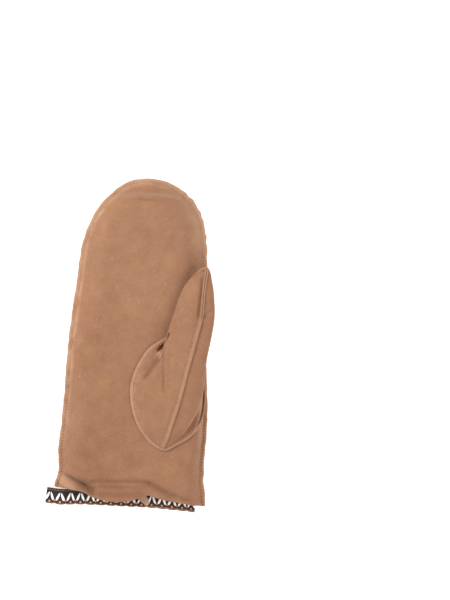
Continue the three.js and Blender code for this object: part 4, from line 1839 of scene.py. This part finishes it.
    def build(self) -> None:
        """Make the thumb with its seams."""
        rows, normal, start = self.surface()
        lift = fold_lift(THUMB_FOLDS, rows[..., 0], rows[..., 1])
        facing = np.clip(normal[..., 2:] * self.fold_facing, 0, 1)
        past_lip = eased(np.arange(len(rows)), start - 0.5, start + self.fold_start)[:, None]
        rows = rows + normal * (lift * past_lip)[..., None] * facing
        half = normal * (self.hand.suede / 2)
        parts = MeshParts()
        reach = np.cumsum(np.linalg.norm(np.diff(rows, axis=0, prepend=rows[:1]), axis=-1), axis=0)
        around = run_lengths(closed(rows[0]))[:-1] * self.stitch_share
        # A spot by the cleft is painted paler.
        off = (rows[..., :2] - np.array(self.pale_spot)) / np.array(self.pale_spot_reach)
        pale = self.pale_spot_share * bell(np.linalg.norm(off, axis=-1), 1)
        pale[:start] = np.array(self.lip_pales)[:, None]
        marks = np.stack([np.broadcast_to(around, reach.shape), reach - self.line_shift, pale], axis=-1)
        outer, inner = parts.add(rows + half, marks), parts.add(rows - half, marks)
        parts.weave(outer, around=True)
        parts.weave(inner, around=True)
        out = unit(rows[0] - rows[1])
        rim_points = ring_points(rows[0], normal[0], out, self.hand.suede)
        rim = parts.add(rim_points, np.broadcast_to(marks[0], rim_points.shape))
        parts.weave(np.concatenate([outer[:1], rim, inner[:1]]), around=True)
        settle(parts.piece("thumb_stall", self.finishes.suede), Slot.SUEDE, "thumb")
        self.fin(rows, normal, start)
        ring = rows[start] + normal[start - 1] * (self.hand.suede / 2 - self.foot_sunk)
        self.foot_stitches.sew("thumb_foot_stitches", self.finishes, closed(ring), closed(normal[start - 1]))


@dataclass
class CuffBands:
    """The woven bands inside the cuff, whose scalloped edge shows below the suede."""

    hand: HandShape
    finishes: Finishes
    thickness: float = 1.0
    column_step: float = 0.32
    rows_across: int = 40
    relief: float = 0.3
    bead_relief: float = 0.2
    stone_relief: float = 0.15
    loose_from: float = -52.0
    loose_end: float = -65.2
    back_right: float = 50.4
    palm_left: float = -49.6
    palm_right: float = 48.4
    left_skew: float = 1.3
    skew_reach: float = 20.0
    right_rise: float = 0.6
    rise_between: Span = (4.0, 20.0)
    sink: float = 1.6
    palm_inset: float = 0.6

    def band(self, name: str, node: str, height: Height, way: int, ends: Span,
             edge: Callable[[Array], Array], skew: float) -> None:
        """Make one band.

        Args:
            name: The band's name.
            node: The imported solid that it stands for.
            height: The height of the middle of the suede that it is sewn to.
            way: 1 for a band over the suede and -1 for one under it.
            ends: Where it starts and ends across the mitten.
            edge: Its lower edge.
            skew: How far its left end leans.
        """
        pattern = self.finishes.pattern
        x = np.arange(ends[0], ends[1], self.column_step)[:, None]
        share = np.linspace(0, 1, self.rows_across)[None, :]
        x, share = np.broadcast_arrays(x, share)
        lean = skew * share * np.clip((ends[0] + self.skew_reach - x) / self.skew_reach, 0, 1)
        scallop = pattern.scallop(x) * share**4
        y = edge(x) + pattern.width * (1 - share) + scallop
        reach = (self.hand.suede + self.thickness) / 2 + self.hand.gap
        held = np.maximum(x, self.loose_from)
        place, _ = on_field(height, held, y, way * reach)
        loose = np.clip((self.loose_from - x) / (self.loose_from - self.loose_end), 0, 1)
        place[..., 0] += np.minimum(x - self.loose_from, 0) - lean
        place[..., 2] -= self.sink * smooth(loose)
        along = np.gradient(place, axis=0)
        down = np.gradient(place, axis=1)
        normal = unit(np.cross(down, along))
        up = pattern.width * (1 - share) - self.right_rise * eased(x, *self.rise_between)
        stroke = pattern.stroke(x, up, ArrayMaths)
        lift = stroke * self.relief + pattern.bead(x, up, ArrayMaths) * self.bead_relief
        lift = lift + pattern.stone(x, up, ArrayMaths) * self.stone_relief
        place = place + normal * lift[..., None]
        marks = np.stack([x, up, np.zeros_like(up)], axis=-1)
        parts = MeshParts()
        Sheet(place, normal, self.thickness, marks).into(parts)
        settle(parts.piece(name, self.finishes.band), Slot.BAND, node)

    def build(self) -> None:
        """Make both bands."""
        hand = self.hand
        self.band("back_band", "back_cuff_band", hand.back, 1, (self.loose_end, self.back_right),
                  hand.band_edge, self.left_skew)
        self.band("palm_band", "palm_cuff_band", hand.sewn_under, -1, (self.palm_left, self.palm_right),
                  lambda x: hand.palm_cuff(x) + self.palm_inset, 0.0)


class LoopRow(NamedTuple):
    """One place along the hanging loop: how far past the hem, and how far below its sewn end."""

    out: float
    drop: float


@dataclass
class HangingLoop:
    """A folded strip of suede, sewn inside the cuff."""

    hand: HandShape
    finishes: Finishes
    width: float = 5.2
    suede: float = 1.1
    taper: float = 0.42
    taper_between: Span = (0.5, 6.5)
    curl: float = 0.22
    rows: int = 90
    columns: int = 13
    hem_x: float = 9.4
    hem_y: float = -117.8
    turn: float = 38.0
    band: float = 1.0
    # The loop's pale paints the whole strip lighter, a painted highlight for the light it catches.
    pale: float = 0.55
    path: tuple[LoopRow, ...] = (
        LoopRow(-13.0, 0),
        LoopRow(-7.0, 0),
        LoopRow(-1.5, 0.1),
        LoopRow(4.0, 0.5),
        LoopRow(6.5, 1.5),
        LoopRow(5.0, 2.5),
        LoopRow(-1.0, 2.6),
        LoopRow(-6.5, 2.3),
        LoopRow(-12.6, 1.7),
    )

    def strip(self) -> tuple[Array, Array]:
        """Lay out the folded strip, with its sewn end at height 0.

        Returns:
            The points in the middle of its suede, and its normals there.
        """
        points = np.array(self.path, float) * [1, -1]
        curve = RowCurve(run_lengths(points), points)
        line = curve(np.linspace(0, run_lengths(points)[-1], self.rows))
        along = unit(np.gradient(line, axis=0))
        angle = math.radians(self.turn)
        out = line[:, :1]
        wide = self.width * (1 - self.taper * eased(out, *self.taper_between))
        across = np.linspace(-0.5, 0.5, self.columns)[None, :] * wide
        middle = np.empty((*across.shape, 3))
        middle[..., 0] = self.hem_x + across * math.cos(angle) + out * math.sin(angle)
        middle[..., 1] = self.hem_y + across * math.sin(angle) - out * math.cos(angle)
        middle[..., 2] = line[:, 1:] - self.curl * (np.abs(across) / self.width * 2) ** 3
        normal = np.zeros_like(middle)
        normal[..., 0] = -along[:, 1:] * math.sin(angle)
        normal[..., 1] = along[:, 1:] * math.cos(angle)
        normal[..., 2] = along[:, :1]
        return middle, normal

    def build(self) -> None:
        """Make the loop, just under the palm and its band."""
        hand = self.hand
        middle, normal = self.strip()
        above = hand.sewn_under(middle[..., 0], middle[..., 1])
        hidden = middle[..., 1] > self.hem_y
        below = (hand.suede + self.suede) / 2 + self.band + 3 * hand.gap
        middle[..., 2] += float(above[hidden].min()) - below
        parts = MeshParts()
        # The strip's pale mark paints a highlight over all of it.
        marks = np.broadcast_to([0.0, 0.0, self.pale], middle.shape)
        Sheet(middle, unit(normal), self.suede, marks).into(parts)
        settle(parts.piece("loop", self.finishes.suede), Slot.STRIP, "hanging_loop")


# The studio


class LampRow(NamedTuple):
    """One soft lamp: where it stands, in metres, and how strong it is."""

    name: str
    spot: Spot
    watts: float


@dataclass(frozen=True)
class Studio:
    """The camera over the mitten, the white floor and the soft light."""

    pixel: float = 0.77
    frame_width: int = 450
    frame_height: int = 600
    lean: float = 2.4
    mark_x: float = 136.6
    mark_y: float = 345.0
    height: float = 1500.0
    edge_height: float = 12.0
    sensor: float = 24.0
    clip: Span = (0.05, 20.0)
    sky: float = 0.6
    floor_reach: float = 3.0
    floor_top: float = -0.1
    lamp_size: float = 0.9
    lamps: tuple[LampRow, ...] = (
        LampRow("softbox_left", (-0.9, 0.45, 0.9), 19.0),
        LampRow("softbox_right", (0.75, -0.5, 0.85), 9.0),
    )

    def camera(self) -> None:
        """Place the camera straight over the middle of the photograph's frame."""
        turn = math.radians(self.lean)
        dx = (self.frame_width / 2 - self.mark_x) * self.pixel
        dy = (self.mark_y - self.frame_height / 2) * self.pixel
        x = dx * math.cos(turn) - dy * math.sin(turn)
        y = dx * math.sin(turn) + dy * math.cos(turn)
        data = bpy.data.cameras.new("overhead")
        data.sensor_fit = "VERTICAL"
        data.sensor_height = self.sensor
        data.lens = self.sensor * self.height / (self.frame_height * self.pixel)
        data.clip_start, data.clip_end = self.clip
        camera = placed("overhead", data)
        camera.location = (x * MM, y * MM, (self.height + self.edge_height) * MM)
        camera.rotation_euler = (0, 0, turn)
        bpy.context.scene.camera = camera

    def floor(self) -> None:
        """Lay the floor, a hair under the mitten."""
        mesh = bpy.data.meshes.new("floor")
        signs = ((-1, -1), (1, -1), (1, 1), (-1, 1))
        corners = [(x * self.floor_reach, y * self.floor_reach, self.floor_top * MM) for x, y in signs]
        mesh.from_pydata(corners, [], [(0, 1, 2, 3)])
        mesh.materials.append(FloorFinish().make())
        placed("floor", mesh)

    def light(self) -> None:
        """Light the scene softly from all round, and more from the left."""
        world = bpy.data.worlds.new("studio")
        world.use_nodes = True
        back = world.node_tree.nodes["Background"]
        back.inputs["Color"].default_value = (1, 1, 1, 1)
        back.inputs["Strength"].default_value = self.sky
        bpy.context.scene.world = world
        for row in self.lamps:
            data = bpy.data.lights.new(row.name, "AREA")
            data.shape = "SQUARE"
            data.size = self.lamp_size
            data.energy = row.watts
            lamp = placed(row.name, data)
            lamp.location = row.spot
            lamp.rotation_euler = (-Vector(row.spot)).to_track_quat("-Z", "Y").to_euler()

    def build(self) -> None:
        """Set up the camera, the floor and the light."""
        bpy.context.scene.view_settings.view_transform = "Standard"
        self.camera()
        self.floor()
        self.light()


def main() -> None:
    """Build the mitten and its studio."""
    logging.basicConfig(level=logging.INFO, format="%(name)s: %(message)s")
    Studio().build()
    hand = HandShape()
    finishes = Finishes()
    for assembly in (HandPanels, Thumb, CuffBands, HangingLoop):
        assembly(hand, finishes).build()
        LOG.info("%s built", assembly.__name__)


if __name__ == "__main__":
    main()
